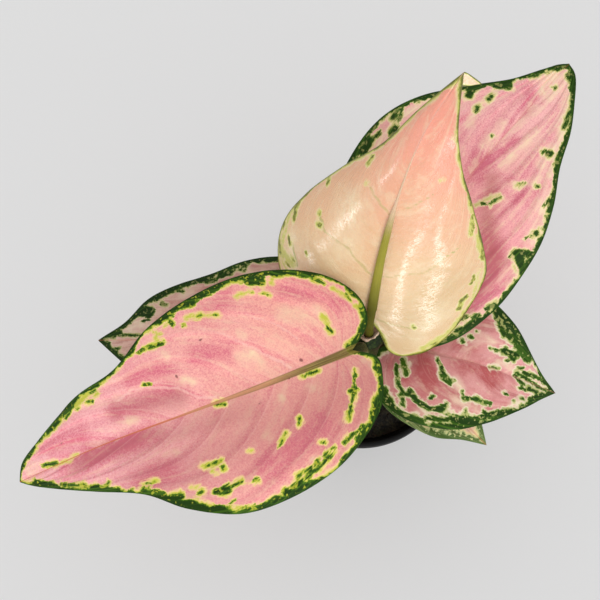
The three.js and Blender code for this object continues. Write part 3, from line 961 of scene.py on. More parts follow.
@dataclass
class Leaf:
    """A leaf: blade with two faces, raised midrib and stalk in one mesh."""

    node: str
    slot: str
    shape: LeafShape
    finish: BladeFinish
    seed: int
    veins: float
    stalk_finish: StalkFinish = StalkFinish()
    dabs: tuple[Dab, ...] = ()
    scatters: tuple[Scatter, ...] = ()
    rib_widths: tuple[float, ...] = (4.0, 3.0, 2.4, 1.8, 1.2, 0.8, 0.6)
    quilt: float = 0.0
    lumps: float = 0.5
    crest: float = 0.7
    rib_pinch: float = 0.0
    vein_bend: Point = (0.1, 0.3)
    vein_start: Point = (0.17, -0.17)
    thickness: float = 0.55
    edge_thickness: float = 0.3
    edge_reach: float = 2.5
    step: float = 1.05

    REARMOST = 0.09
    VEIN_SWEEP = 1.4
    CURL_SPAN = 50.0
    LEAST_RISE = 0.05
    OUTLINE_STEPS = 500
    ROWS_TO_LENGTH = 1.15
    CROWDING = 0.35
    # A leaf's own slice of the textures' noise is its seed times this.
    SLICE = 13.7
    LUMP_SPAN = 26.0
    MARGIN_SPAN = 7.0
    GROOVE = (0.22, 1.3)
    RIB_FROM = 0.06
    RIB_END = 0.3
    RIB_FLAT = 0.75
    RIB_RINGS = 60
    STALK_RINGS = 44
    STALK_SIDES = 24
    STALK_CHANNEL = (0.16, 0.5)
    DIP = 1.3
    SUNK = 0.05

    def __post_init__(self) -> None:
        """Measures the midrib and starts the noise."""
        self.spine = Spine(np.array(self.shape.midrib, float))
        self.noise = LumpNoise(self.seed)

    # -- the blade's middle surface

    def frame_at(self, s: Array) -> tuple[Array, Array, Array]:
        """Gives the midrib's place, left across the blade and out of its upper face."""
        place, ahead = self.spine.at(s)
        level = unit(np.cross([0.0, 0.0, 1.0], ahead))
        lift = np.cross(ahead, level)
        roll = math.radians(self.shape.roll)
        left = level * math.cos(roll) + lift * math.sin(roll)
        return place, left, np.cross(ahead, left)

    def outline(self, side: tuple[Point, ...], u: Array) -> Array:
        """Follows one side's outline from the stalk at u = 0 to the tip at 1."""
        return catmull_rom(np.array([(0, 0), *side, (self.spine.length, 0)], float), u)

    def surface(self, s: Array, t: Array, lift: Array) -> Array:
        """Places on the blade's middle surface.

        Args:
            s: Lengths along the midrib.
            t: Lengths out from it, positive to the left.
            lift: How far each is raised out of the upper face.

        Returns:
            The places.
        """
        place, left, out = self.frame_at(s)
        side = np.where(t >= 0, 0, 1)
        along = np.clip(s / self.spine.length, 0, 1)
        stronger = 1 + (np.array(self.shape.curl_tip)[side] - 1) * along**3
        turn = np.radians(np.array(self.shape.curl)[side] * stronger) / self.CURL_SPAN
        fold = np.radians(np.array(self.shape.fold)[side])
        angle = fold + turn * np.abs(t)
        across = (np.sin(angle) - np.sin(fold)) / turn
        rise = (np.cos(fold) - np.cos(angle)) / turn + lift
        return place + left * (np.sign(t) * across)[:, None] + out * rise[:, None]

    def rows(self, u: Array) -> tuple[Array, Array, Array]:
        """Gives where each row of the blade starts on the midrib and its ends on both outlines."""
        length = self.spine.length
        left, right = (self.outline(side, u) for side in (self.shape.left, self.shape.right))
        reach = (left[:, 0] + right[:, 0]) / 2 / length + self.REARMOST
        swept = length * (np.maximum(reach, 0) / (1 + self.REARMOST)) ** self.VEIN_SWEEP
        least = self.LEAST_RISE * length * u
        start = np.maximum(np.maximum.accumulate(swept - least) + least, least)
        start = np.minimum(start, length)
        start[0], start[-1] = 0, length
        return start, left, right

    def painted(self, u: Array, v: Array, s: Array, t: Array) -> Values:
        """Works out the values that the finish reads at each point of the blade.

        Args:
            u: Row of each point, 0 at the stalk to 1 at the tip.
            v: Share of the row, 0 on the midrib to 1 on the margin.
            s: Length along the midrib.
            t: Length out from it.

        Returns:
            The painted values by name.
        """
        length = self.spine.length
        rim = np.full(len(s), np.inf)
        for sign, side in ((1, self.shape.left), (-1, self.shape.right)):
            for ahead, out in self.outline(side, np.linspace(0, 1, self.OUTLINE_STEPS))[2:]:
                rim = np.minimum(rim, np.hypot(s - ahead, t - sign * out))
        warp_s = s + 0.5 * self.noise.layered(s, t, 5.0) + 0.3 * self.noise.at(s, t, 1.7)
        warp_t = t + 0.5 * self.noise.layered(t + 90, s, 5.0) + 0.3 * self.noise.at(t + 40, s, 1.7)
        marks = {kind: np.full(len(s), UNMARKED) for kind in OUTLINED}
        flush, dull = np.zeros(len(s)), np.zeros(len(s))
        rng = np.random.default_rng(100 + self.seed)
        scattered = [dab for scatter in self.scatters for dab in scatter.dabs(rng)]
        for dab in (*self.dabs, *scattered):
            far = dab.distance(warp_s, warp_t)
            if dab.kind in marks:
                marks[dab.kind] = np.minimum(marks[dab.kind], far)
                continue
            # Soft strokes: painted shade, deeper pink that is partly painted shade, and paler patches, which
            # count negative.
            soft = 0.5 * smoothstep(1.0, 0.0, (far + dab.width / 2) / max(dab.width, 1.0))
            if dab.kind is Mark.DULL:
                dull = np.maximum(dull, soft)
            else:
                flush += soft if dab.kind is Mark.FLUSH else -soft
        bend, arch = self.vein_bend
        count = self.veins * (u - bend * v - arch * v**3) + np.where(t >= 0, *self.vein_start)
        half = np.interp(s / length, np.linspace(0, 1, len(self.rib_widths)), self.rib_widths) / 2
        return {
            "plan_s": s, "plan_t": t, "along": s / length, "across": v, "rim": rim,
            "leaf": np.full(len(s), self.SLICE * self.seed), "flush": flush, "dull": dull,
            "vein_count": count + 0.06 * self.noise.at(s, t, 30.0),
            "vein_run": 0.045 * np.abs(t) + 0.02 * s + 3 * np.sign(t), "rib_band": np.abs(t) / half,
            **{kind.value: far for kind, far in marks.items()},
        }

    def relief(self, u: Array, v: Array, s: Array, t: Array, count: Array) -> Array:
        """How far the blade swells: waved margin, quilting between the veins, lumps and midrib's groove."""
        height, waves, phase = self.shape.wave
        side = np.where(t >= 0, 1, -1)
        lift = height * np.sin(np.pi * u) * v**2 * np.sin(2 * np.pi * waves * u + phase + side)
        puff = smoothstep(0.02, 0.3, v) * (1 - 0.8 * v**5)
        puff = puff * smoothstep(0.15, 0.4, u) * smoothstep(1, 0.85, u)
        lift = lift - self.quilt * puff * np.abs(np.cos(np.pi * count)) ** 3
        past = count - np.floor(count)
        lift = lift + self.crest * puff * (1 - smoothstep(0, 0.24, past) + smoothstep(0.2, 1.0, past) - 0.5)
        calm = smoothstep(0.0, 0.25, v)
        lift = lift + self.lumps * calm * self.noise.layered(s + 200, t, self.LUMP_SPAN, 2)
        lift = lift + 0.25 * v**4 * self.noise.at(s, t, self.MARGIN_SPAN)
        depth, half = self.GROOVE
        return lift - depth * hump(t, half)

    # -- meshes

    def blade(self, skin: Skin) -> None:
        """Adds the blade's two faces and its margin to the skin."""
        length = self.spine.length
        widest = max(out for _, out in (*self.shape.left, *self.shape.right))
        rows, columns = int(length * self.ROWS_TO_LENGTH / self.step), int(widest / self.step)
        u = np.linspace(0, 1, rows + 1)
        start, left, right = self.rows(u)
        j = np.linspace(0, 1, columns + 1)
        share = self.CROWDING * j**2 + (1 - self.CROWDING) * j
        tip = 1 + (rows - 1) * (2 * columns + 1)
        tables = {}
        points = [np.zeros((1, 4))]
        count = 1
        for sign, ends, first in ((1, left, 0), (-1, right, 1)):
            table = np.zeros((rows + 1, columns + 1), int)
            if first:
                table[:, 0] = tables[1][:, 0]
            fresh = table[1:rows, first:]
            fresh[:] = count + np.arange(fresh.size).reshape(fresh.shape)
            count += fresh.size
            table[rows] = tip
            tables[sign] = table
            foot = start[1:rows, None]
            v = np.broadcast_to(share[first:], fresh.shape)
            along = foot + (ends[1:rows, :1] - foot) * v
            row = np.broadcast_to(u[1:rows, None], fresh.shape)
            points.append(np.stack([row, v, along, sign * ends[1:rows, 1:] * v], -1).reshape(-1, 4))
        points.append([(1.0, 0.0, length, 0.0)])
        u_all, v_all, s_all, t_all = np.concatenate(points).T
        values = self.painted(u_all, v_all, s_all, t_all)
        lift = self.relief(u_all, v_all, s_all, t_all, values["vein_count"])
        middle = self.surface(s_all, t_all, lift)
        upper = []
        for sign, table in tables.items():
            corners = (table[:-1, :-1], table[1:, :-1], table[1:, 1:], table[:-1, 1:])
            for face in np.stack(corners, -1).reshape(-1, 4).tolist():
                kept = tuple(dict.fromkeys(face))
                if len(kept) > 2:
                    upper.append(kept[::sign])
        thin = self.edge_thickness + (self.thickness - self.edge_thickness) * smoothstep(
            0.0, self.edge_reach, values["rim"])
        shift = self.normals(middle, upper) * (thin / 2)[:, None]
        n = len(middle)
        margin = [0, *tables[-1][1:, columns].tolist(), *tables[1][rows - 1:0:-1, columns].tolist()]
        edge = [(a, a + n, b + n, b) for a, b in zip(margin, margin[1:] + margin[:1])]
        skin.add_sheet(middle, shift, upper, edge, (0, 1), values)

    @staticmethod
    def normals(middle: Array, faces: Faces) -> Array:
        """Smooth normals at the points of a surface."""
        mesh = bpy.data.meshes.new("blade_middle")
        mesh.from_pydata(middle.tolist(), [], faces)
        normals = np.zeros(len(middle) * 3)
        mesh.vertex_normals.foreach_get("vector", normals)
        bpy.data.meshes.remove(mesh)
        return normals.reshape(-1, 3)

    def under(self, s: Array, half: Array) -> Array:
        """Places under the blade's midrib, with room for half the rib's height."""
        place, _, out = self.frame_at(s)
        return place + out * (-self.SUNK - half)[:, None]

    def stalk(self, skin: Skin) -> None:
        """Adds the stalk and the midrib that it becomes under the blade, as one tapering loft."""
        length = self.spine.length
        foot, top = (np.array(size) for size in self.shape.stalk_size)
        joint = self.under(np.array([0, length * self.RIB_FROM]), np.array([top[1] + self.DIP, top[1]]))
        route = Spine(np.array([*self.shape.stalk, *joint]))
        f = np.arange(self.STALK_RINGS) / self.STALK_RINGS
        places, aheads = route.at(route.length * f)
        sizes = foot + (top - foot) * np.sqrt(f)[:, None]
        g = np.linspace(0, 1, self.RIB_RINGS)
        s = length * (self.RIB_FROM + (self.shape.rib_length - self.RIB_FROM) * g)
        pinch = 1 - self.rib_pinch * smoothstep(0.48, 0.66, g)
        width = top[0] * (1 - g) ** 0.8 * pinch + self.RIB_END * np.minimum(pinch + 0.2, 1)
        height = np.minimum(width * self.RIB_FLAT, top[1])
        places = np.concatenate([places, self.under(s, height)])
        aheads = np.concatenate([aheads, self.spine.at(s)[1]])
        sizes = np.concatenate([sizes, np.stack([width, height], -1)])
        hint = self.frame_at(np.array([0.0]))[1][0]
        across = unit(hint - aheads * (aheads @ hint)[:, None])
        out = np.cross(aheads, across)
        turn = 2 * np.pi * np.arange(self.STALK_SIDES) / self.STALK_SIDES
        depth, half = self.STALK_CHANNEL
        dent = 1 - depth * hump(np.angle(np.exp(1j * (turn - np.pi / 2))), half)
        points = (places[:, None, :]
                  + across[:, None, :] * (sizes[:, :1] * np.cos(turn) * dent)[:, :, None]
                  + out[:, None, :] * (sizes[:, 1:] * np.sin(turn) * dent)[:, :, None]).reshape(-1, 3)
        stations = len(places)
        values = {
            "stalk_along": np.repeat(np.concatenate([f, 1 + g]), self.STALK_SIDES),
            "stalk_turn": np.tile(np.cos(turn), stations),
            "leaf": np.full(len(points), self.SLICE * self.seed),
        }
        skin.add(points, tube_faces(stations, self.STALK_SIDES), 2, values)

    def extras(self, skin: Skin) -> None:
        """Adds what only this kind of leaf has. A plain leaf has nothing more."""

    def build(self, effects: Effects) -> Piece:
        """Builds the leaf and puts it in the place of its CAD node.

        Args:
            effects: The shared shader groups.

        Returns:
            The leaf.
        """
        skin = Skin()
        self.blade(skin)
        self.stalk(skin)
        self.extras(skin)
        materials = [self.finish.material(effects, self.node, face) for face in Face]
        materials.append(self.stalk_finish.material(effects, self.node.replace("leaf", "stalk")))
        return stand_for(skin.piece(f"{self.node}_grown", materials), self.node)


@dataclass
class YoungLeaf(Leaf):
    """The young leaf, still half rolled, with its tip bent over in a small flap."""

    flap_start: float = 6.5
    flap_peak: float = 0.7
    flap_reach: float = 9.4
    flap_drop: float = 0.3

    FLAP_ROWS = 44
    FLAP_COLUMNS = 34
    FLAP_SHIFT = (0.1, -0.05, 0.16)
    FLAP_SLICE = 50.0
    INSET = 0.4

    def extras(self, skin: Skin) -> None:
        """Adds the flap: the far margin of the rolled tip, which shows beside it."""
        rows, columns = self.FLAP_ROWS, self.FLAP_COLUMNS
        f, v = (grid.ravel() for grid in np.meshgrid(np.linspace(0, 1, rows), np.linspace(0, 1, columns),
                                                     indexing="ij"))
        s = self.spine.length - self.flap_start * f
        tip = self.outline(self.shape.left, np.linspace(0, 1, self.OUTLINE_STEPS))[self.OUTLINE_STEPS // 2:]
        inset = np.interp(s, tip[:, 0], tip[:, 1]) - self.INSET
        hinge = self.surface(s, np.maximum(inset, 0.05), np.zeros(len(s)))
        wide = np.where(f < self.flap_peak, f / self.flap_peak, (1 - f) / (1 - self.flap_peak)) ** 0.8
        reach = self.flap_reach * wide * v
        curve = np.sin(v * 1.9) * wide
        middle = hinge + np.stack([reach, -0.4 * curve, -curve - self.flap_drop * wide * v**2], -1)
        rim = np.minimum((1 - v) * self.flap_reach * wide, 0.75 * self.flap_reach * np.minimum(f, 1 - f))
        number = np.arange(rows * columns).reshape(rows, columns)
        corners = (number[1:, :-1], number[1:, 1:], number[:-1, 1:], number[:-1, :-1])
        upper = [tuple(face) for face in np.stack(corners, -1).reshape(-1, 4).tolist()]
        border = [*number[:, -1].tolist(), *number[::-1, 0].tolist()]
        n = len(middle)
        edge = [(a, b, b + n, a + n) for a, b in zip(border, border[1:] + border[:1])]
        same = {"along": 0.1, "leaf": self.FLAP_SLICE, "vein_count": 0.5, "rib_band": UNMARKED}
        same |= {kind.value: UNMARKED for kind in OUTLINED}
        values = {"plan_s": s, "plan_t": 40 + reach, "across": v, "rim": 2.2 * rim - 1.0,
                  **{key: np.full(n, value) for key, value in same.items()}}
        skin.add_sheet(middle, np.array(self.FLAP_SHIFT), upper, edge, (1, 1), values)


def front_left_leaf() -> Leaf:
    """The biggest leaf: salmon pink, green only in a ragged margin and a few marks by it."""
    shape = LeafShape(
        midrib=((-7, -10, 158), (-49, -28, 164), (-91, -43, 160), (-136, -57, 143), (-182, -72, 112)),
        left=((-10, 8), (-9, 18), (-2, 32), (12, 43), (32, 53), (57, 58), (80, 57), (103, 46), (123, 32),
              (149, 22), (174, 12), (190, 5)),
        right=((-12, 9), (-15, 20), (-11, 32), (1, 44), (22, 54), (48, 58), (76, 55), (99, 47), (120, 34),
               (148, 28), (174, 17), (191, 9)),
        fold=(9, 9), curl=(-14, -14), wave=(1.6, 3.5, 0.6),
        stalk=((0.4, -1, 100), (0.3, -2.8, 121), (-1.8, -5.6, 142)), stalk_size=((5, 4), (2.7, 2.5)),
    )
    dabs = strokes(
        Mark.GREEN, (6, -45, -0.5, -37, 2.6, 1.2), (12.5, -49, 11, -47, 1.6), (39, -58, 30.5, -53, 6),
        (36.5, -53, 29.5, -50, 3.6), (28.5, -54, 14.5, -49.5, 3.8), (55.5, -57, 40, -57, 3.2),
        (66, -54.5, 55.5, -56, 2.6), (83, -54, 69, -52.5, 2.8), (84, -48, 83.5, -45, 2),
        (98.5, -38.5, 91, -38, 2), (104, -37.5, 101, -38, 2), (107, -21, 103.5, -20, 1.5),
        (29.5, 2.5, 20.5, 3, 1.2), (7.5, -16, 6, -13, 1.8), (69.5, -44.5, 67, -44.5, 1.2),
        (60, -42.5, 58.5, -42, 1.4), (37.5, -47.5, 36.5, -47, 1.3), (31.5, -44, 29.5, -42.5, 1.1),
        (78.5, -43, 77.5, -43, 1.2), (-8.5, -28, -10, -24, 1.2), (4, 10, 5, 13.5, 0.8, 1.3),
        (5, 13.5, 7.5, 20, 1.3), (10, 19.5, 7.5, 20, 2.2), (8.5, 21, 12, 25, 1.6, 1.1),
        (13.5, 27, 14.5, 28.5, 1.8), (15.5, 29, 17.5, 33, 1), (-9.5, 7, -10, 12, 3.2),
        (-11, 12.5, -2, 32, 3), (4.5, 34.5, -1, 32, 3.4), (33.5, 38, 32.5, 38.5, 1.4),
        (38, 22, 41, 25, 1.4, 1.8), (47, 27, 53.5, 32, 0.8, 1.1), (29.5, 42.5, 30.5, 43, 1.6),
        (34, 44, 35.5, 45, 1.8), (39, 46, 40.5, 47, 2), (43.5, 48, 45, 48, 2.4), (48, 48, 49.5, 49, 2),
        (52.5, 54, 49.5, 52, 3), (57, 54, 55, 58, 4.2), (50.5, 55, 46, 56.5, 2.8),
        (69.5, 43.5, 67.5, 44, 1.6), (74, 42, 79, 42.5, 1.6), (82, 44, 87.5, 42.5, 3.4),
        (84, 42, 81.5, 41, 2), (81.5, 28.5, 85.5, 29, 1.6), (81, 33, 80.5, 32, 2), (86, 29, 89, 29, 1),
        (80, 49, 83, 50.5, 1), (64, 55, 66.5, 56.5, 1.8), (75, 0.5, 70.5, 2, 1.3),
        (95.5, 40, 94.5, 40.5, 1.6), (98.5, 49.5, 80.5, 57, 3.4), (80.5, 55.5, 63.5, 58, 1.6),
        (133, -27.5, 137, -27, 1.1), (136.5, -23, 140, -23.5, 1.6), (146.5, -22, 148, -22, 1.2),
        (152.5, -22, 155.5, -21, 1.6), (159.5, -21, 169, -17.5, 2.8), (170, -1, 179.5, -2, 1.7),
        (170, 11, 155, 16.5, 1.6), (143.5, 21, 141, 19, 1.8), (147.5, 20, 145.5, 21, 1.4),
        (121.5, 26.5, 116.5, 28, 1), (111, 38, 104.5, 39, 4.2), (103, 44, 97, 49, 3.4),
        (96, 40, 94, 40, 1.3), (111, 40, 102.5, 46, 2.8), (129.5, 27, 130, 27.5, 1.2),
        (134.5, 26, 135, 26, 1.2), (-8, 3.5, -12, 8, 3.6, 4), (-12, 8, -11, 16, 4), (-6, 24, 2, 32, 3.4),
        (12, 38, 24, 42.5, 2), (32, 45.5, 46, 51.5, 2), (100, 46, 108, 41, 5), (112, 38.5, 117, 33.5, 3.4),
        (86, 55, 97, 49.5, 3),
    ) + strokes(
        Mark.YELLOW, (-3.5, -33.5, -6, -30, 2.2), (-6, -30, -10, -24, 2.6), (-11, -20.5, -13, -18, 3.2),
        (7.5, -22, 6.5, -12.5, 3), (24, -49.5, 25, -47.5, 2.6), (46, -47.5, 36.5, -48, 2),
        (32.5, -44.5, 28.5, -42, 1.8), (75.5, -47, 68.5, -44.5, 2.4), (68.5, -44.5, 61, -43, 2),
        (63, -55.5, 60, -55.5, 2.6), (87.5, -51.5, 84, -53, 3), (94, -41, 92.5, -38.5, 2.6),
        (96, -47, 91, -42.5, 1.8), (88, -46.5, 84, -47, 1.8), (6, 36, 6.5, 39, 2.4), (13, 40, 9, 39, 2),
        (-9.5, 11, -8.5, 16, 2), (66.5, 29, 65.5, 29.5, 1.8), (90.5, 28, 86.5, 28, 1.6),
        (86.5, 32, 85, 33.5, 1.8), (85.5, 44.5, 83.5, 46, 2.4), (69.5, 45.5, 68.5, 45, 1.4),
        (50.5, 50, 46.5, 50.5, 2), (71, 56, 69, 56.5, 1.8), (62, 55, 60, 55.5, 2),
        (133.5, -28.5, 154.5, -22.5, 3.6), (135, -25, 132, -25, 2), (157.5, -22, 152.5, -24, 2.4),
        (156, -1, 167, 0, 1.2), (171.5, 0, 162, 1, 1.2), (156, 17, 150, 20, 2.4), (145.5, 21, 141, 20, 2.6),
        (123, 26.5, 114.5, 27.5, 1.8), (105, 42, 103, 43, 2), (98, 42.5, 97, 43.5, 1.4),
        (98, 36, 95.5, 37, 1.8), (-11, 8, -11, 11, 1.4), (-8, 19, -6, 22, 1.4), (0, 30, 3, 32, 1.4),
        (102, 42, 103, 41.5, 1.5), (97, 45.5, 98, 45, 1.5), (107, 40, 108, 39.5, 1.5),
        (114, 36, 115, 35, 1.3), (-10, 9, -9, 19, 2), (-8, 21, -2, 30, 1.8), (4, 35, 14, 40, 1.8),
        (30, 45, 40, 48, 1.8), (118, -34, 133, -29, 2.4), (155, -22, 168, -17, 1.6),
        (104, 43.5, 98, 47, 1.6), (94, 51, 88, 54, 1.6), (84, 56, 74, 58, 1.6), (58, 57.5, 48, 56.5, 1.4),
    ) + strokes(
        Mark.BLANCH, (50.5, -29.5, 50, -27, 4), (56, -19, 51.5, -16.5, 5), (48, -17, 46, -11, 4),
        (92, -33, 90, -30.5, 4), (85.5, -17, 81.5, -14, 3.4), (8.5, -28, 7.5, -22, 3), (28.5, 9, 27, 11, 4),
        (43.5, 8.5, 43, 10, 3), (56.5, 25, 55, 27, 3.4), (56.5, 34.5, 54.5, 33, 2), (176, -5, 188.5, -3, 6),
        (121.5, -7, 117.5, -6, 4), (106.5, 16.5, 101.5, 17, 3.6), (-12.5, -16.5, -12, -13, 3),
        (68, -54, 63, -54, 2.4), (79, 56, 74, 56, 2.4), (41, 44, 39, 44.5, 3), (-3, 7, -6, 12, 4),
        (8, -26, 24, -30, 10),
    ) + strokes(
        Mark.SPECK, (72, -32.5, 71.5, -32.5, 1.3), (27, -5, 26.5, -4.5, 1.5), (89, -19.5, 88.5, -19, 1.1),
        (54, 8, 54.6, 8, 1), (36.5, 1.5, 37, 1.5, 1), (162, -9.5, 162.6, -9.5, 1.1),
    ) + strokes(
        # Painted shade: the lower half, which faces away from the light, and the fold under the midrib
        # towards the tip.
        Mark.DULL, (0, 22, 120, 26, 46, 30), (60, 10, 130, 8, 22, 10), (106, 5, 158, 4, 10, 8),
        (92, -9, 126, -14, 12, 8),
    ) + strokes(
        # Deeper pink: painted shade under the midrib towards the tip and below the strong side veins;
        # elsewhere the leaf's own rose tint.
        Mark.FLUSH, (112, 4, 165, 4, 10), (118, 4, 150, 4, 8), (52, -48, 66, -46, 10),
        (150, -8, 175, -8, 12), (92, -25, 112, -27, 9), (96, -13, 126, -14, 8), (108, 24, 122, 26, 12),
        (0, -26, 20, -40, 14, 10), (60, -22, 76, -26, 9), (30, 30, 60, 40, 14),
    ) + strokes(
        Mark.VEIN, (74, -2.5, 82.5, -6, 0.8), (82.5, -6, 90, -13.5, 0.8), (90, -13.5, 100, -17.5, 0.8),
        (100, -17.5, 113, -21, 0.8), (113, -21, 124, -18.5, 0.6), (32.5, -3.5, 42, -13.5, 0.6),
        (42, -13.5, 59.5, -32, 0.6), (59.5, -32, 70, -38.5, 0.5), (24, -16, 32, -27.5, 0.5),
        (32, -27.5, 44, -36.5, 0.5),
    )
    finish = BladeFinish(
        base=(0.93, 0.46, 0.37), tip=(0.93, 0.475, 0.485), deep=(0.68, 0.16, 0.22), pale=(0.9, 0.66, 0.44),
        dull=(0.34, 0.1, 0.1), streaks=0.22, cream=0.28, grain=1.3, mid_green=(0.09, 0.21, 0.01),
        margin=2.7, vein=(0.9, 0.58, 0.5), vein_far=(0.9, 0.58, 0.5), vein_share=0.14, vein_gap=21,
        vein_width=0.9, drawn_share=0.45, halo_share=0.85,
    )
    return Leaf(
        node="leaf_front_left", slot="leaf_pink", shape=shape, finish=finish, dabs=dabs, seed=3, veins=12,
        vein_bend=(0.12, 0.16), vein_start=(0.4, 0.08), step=0.85,
        rib_widths=(4.8, 3.6, 3.0, 1.8, 1.1, 0.8, 0.6, 0.5, 0.45),
    )


def young_leaf() -> Leaf:
    """The youngest leaf, steep and seen from below: glossy peach, greenish cream at its foot."""
    shape = LeafShape(
        midrib=((3, 9, 142), (8, 36, 171), (16, 62, 199), (27, 85, 224), (43.8, 106.2, 246)),
        left=((-5.7, 5.6), (-11.5, 9), (-18, 13.5), (-20, 22), (-14, 36), (4, 50), (28, 59), (52, 52),
              (78, 39), (102, 25), (127, 12)),
        right=((-5.7, 5.6), (-11.5, 9), (-18, 13.5), (-20, 22), (-13, 39), (7, 56), (31, 62), (51, 54),
               (74, 37), (96, 19), (121, 9)),
        roll=177, fold=(0, 0), curl=(34, 34), curl_tip=(5, 10), wave=(0.8, 2.5, 2.0),
        stalk=((0.5, -0.4, 96.4), (2, -0.2, 113), (2.8, 3, 129)), stalk_size=((3.4, 3.2), (2.4, 2.2)),
        rib_length=0.75,
    )
    dabs = strokes(
        Mark.GREEN, (40.5, -55.5, 37, -55, 2.4), (34, -61.5, 31.5, -61, 2.2), (29, -54.5, 27, -52.5, 2.2),
        (43, -38, 43, -36.5, 2.2), (27.5, -42, 26, -41, 1.4), (48, -40, 47.5, -39, 1.2),
        (63, -43, 62, -42.5, 2.4), (86.5, -22, 87, -21, 1.5), (84, -22, 82, -22, 1.2),
        (45.5, -56, 42.5, -57, 2.2), (81.5, 36.5, 78.5, 38, 1.2), (73.5, 40, 64.5, 42, 1.4),
        (62.5, 42, 60.5, 42, 1.2), (51, 52, 43, 53, 1.8), (31.5, 52, 25.5, 50.5, 1.4),
        (10, 46, 10, 47, 2.2), (14, 46.5, 17.5, 50, 2), (-12, 35, -10, 38, 1), (-0.5, 23, -1, 24, 1.2),
        (143, 3, 134, 9, 1.6), (24, -60, 18, -58, 1.8), (54, -57, 48, -60, 1.4), (16, -54, 15, -50, 1.6),
        (20, -50, 19, -48, 1.3),
    ) + strokes(
        Mark.YELLOW, (75, -18, 74.5, -18.5, 1.8), (92.5, 17, 93, 17.5, 1.8), (36, 54, 11.5, 54, 1.8),
        (11.5, 54, 0, 46, 2), (0, 46, -16.5, 30, 1.8), (18, -54.5, 17, -47, 3), (44, -60, 34, -62, 2),
        (46, -59, 18, -58, 2.4), (14, -55, 8, -44, 2), (134, 9, 118, 14, 1.2), (20, -57, 17, -48, 4),
        (60, 46, 48, 51, 2), (84, 34, 74, 40, 2), (-14, 30, -7, 40, 3.4), (-6, 41, 8, 50, 2),
    ) + strokes(
        Mark.VEIN, (64.5, -1.5, 73.7, -15.5, 0.8), (27.4, -2.5, 38, -17, 0.7), (38, -17, 41, -32.5, 0.9),
        (41, -32.5, 47.7, -39.5, 1), (28.4, 2, 35, 24, 0.5), (35, 24, 52.8, 38.5, 0.7),
        (69.6, 4.5, 82.8, 15.5, 0.6), (1.9, 3, -1.6, 23.5, 0.6), (27, -50, 17, -45, 0.8),
    ) + strokes(
        Mark.BLANCH, (30, -50, 14, -50, 9), (10, 36, -8, 26, 10), (40, -20, 60, -24, 14),
    ) + strokes(
        # Painted shade on the lower lobe by the foot.
        Mark.DULL, (-10, 16, 26, 34, 26, 20),
    )
    finish = BladeFinish(
        base=(0.68, 0.475, 0.25), tip=(0.79, 0.285, 0.2), deep=(0.72, 0.36, 0.2), pale=(0.8, 0.66, 0.42),
        green=(0.1, 0.105, 0.001), mid_green=(0.24, 0.25, 0.002), dots=0.3, fringe=(0.5, 0.5, 0.08),
        halo=(0.74, 0.66, 0.32), rib=(0.4, 0.36, 0.1), rib_light=(0.5, 0.44, 0.16),
        rib_far=(0.8, 0.5, 0.34), rib_end=(0.8, 0.45, 0.34), rib_share=0.5, vein=(0.47, 0.37, 0.13),
        vein_far=(0.3, 0.34, 0.05), streaks=0.12, grain=0.35, vein_shade=0.0, margin=0.8, blotched=1.6,
        vein_share=0.08, vein_width=0.7, drawn_share=0.68, roughness=0.3, specular=0.6, coat=1.0,
        coat_roughness=0.19, dull=(0.5, 0.36, 0.16), painted_shade_share=0.8, cells=0.7, ribs=1.0, relief=0.0003,
        under_tint=0.0, under_dull=0.0,
    )
    stalk = StalkFinish(foot=(0.1, 0.09, 0.01), top=(0.1, 0.095, 0.006), rib=(0.33, 0.3, 0.04),
                        rib_end=(0.8, 0.56, 0.38))
    return YoungLeaf(
        node="leaf_young", slot="leaf_peach", shape=shape, finish=finish, stalk_finish=stalk, dabs=dabs,
        seed=5, veins=6.5, vein_bend=(0.03, 0.18), vein_start=(-0.45, -0.5),
        rib_widths=(3.0, 2.4, 1.6, 1.0, 0.7, 0.5), quilt=0.3, crest=0.0, rib_pinch=0.62,
    )


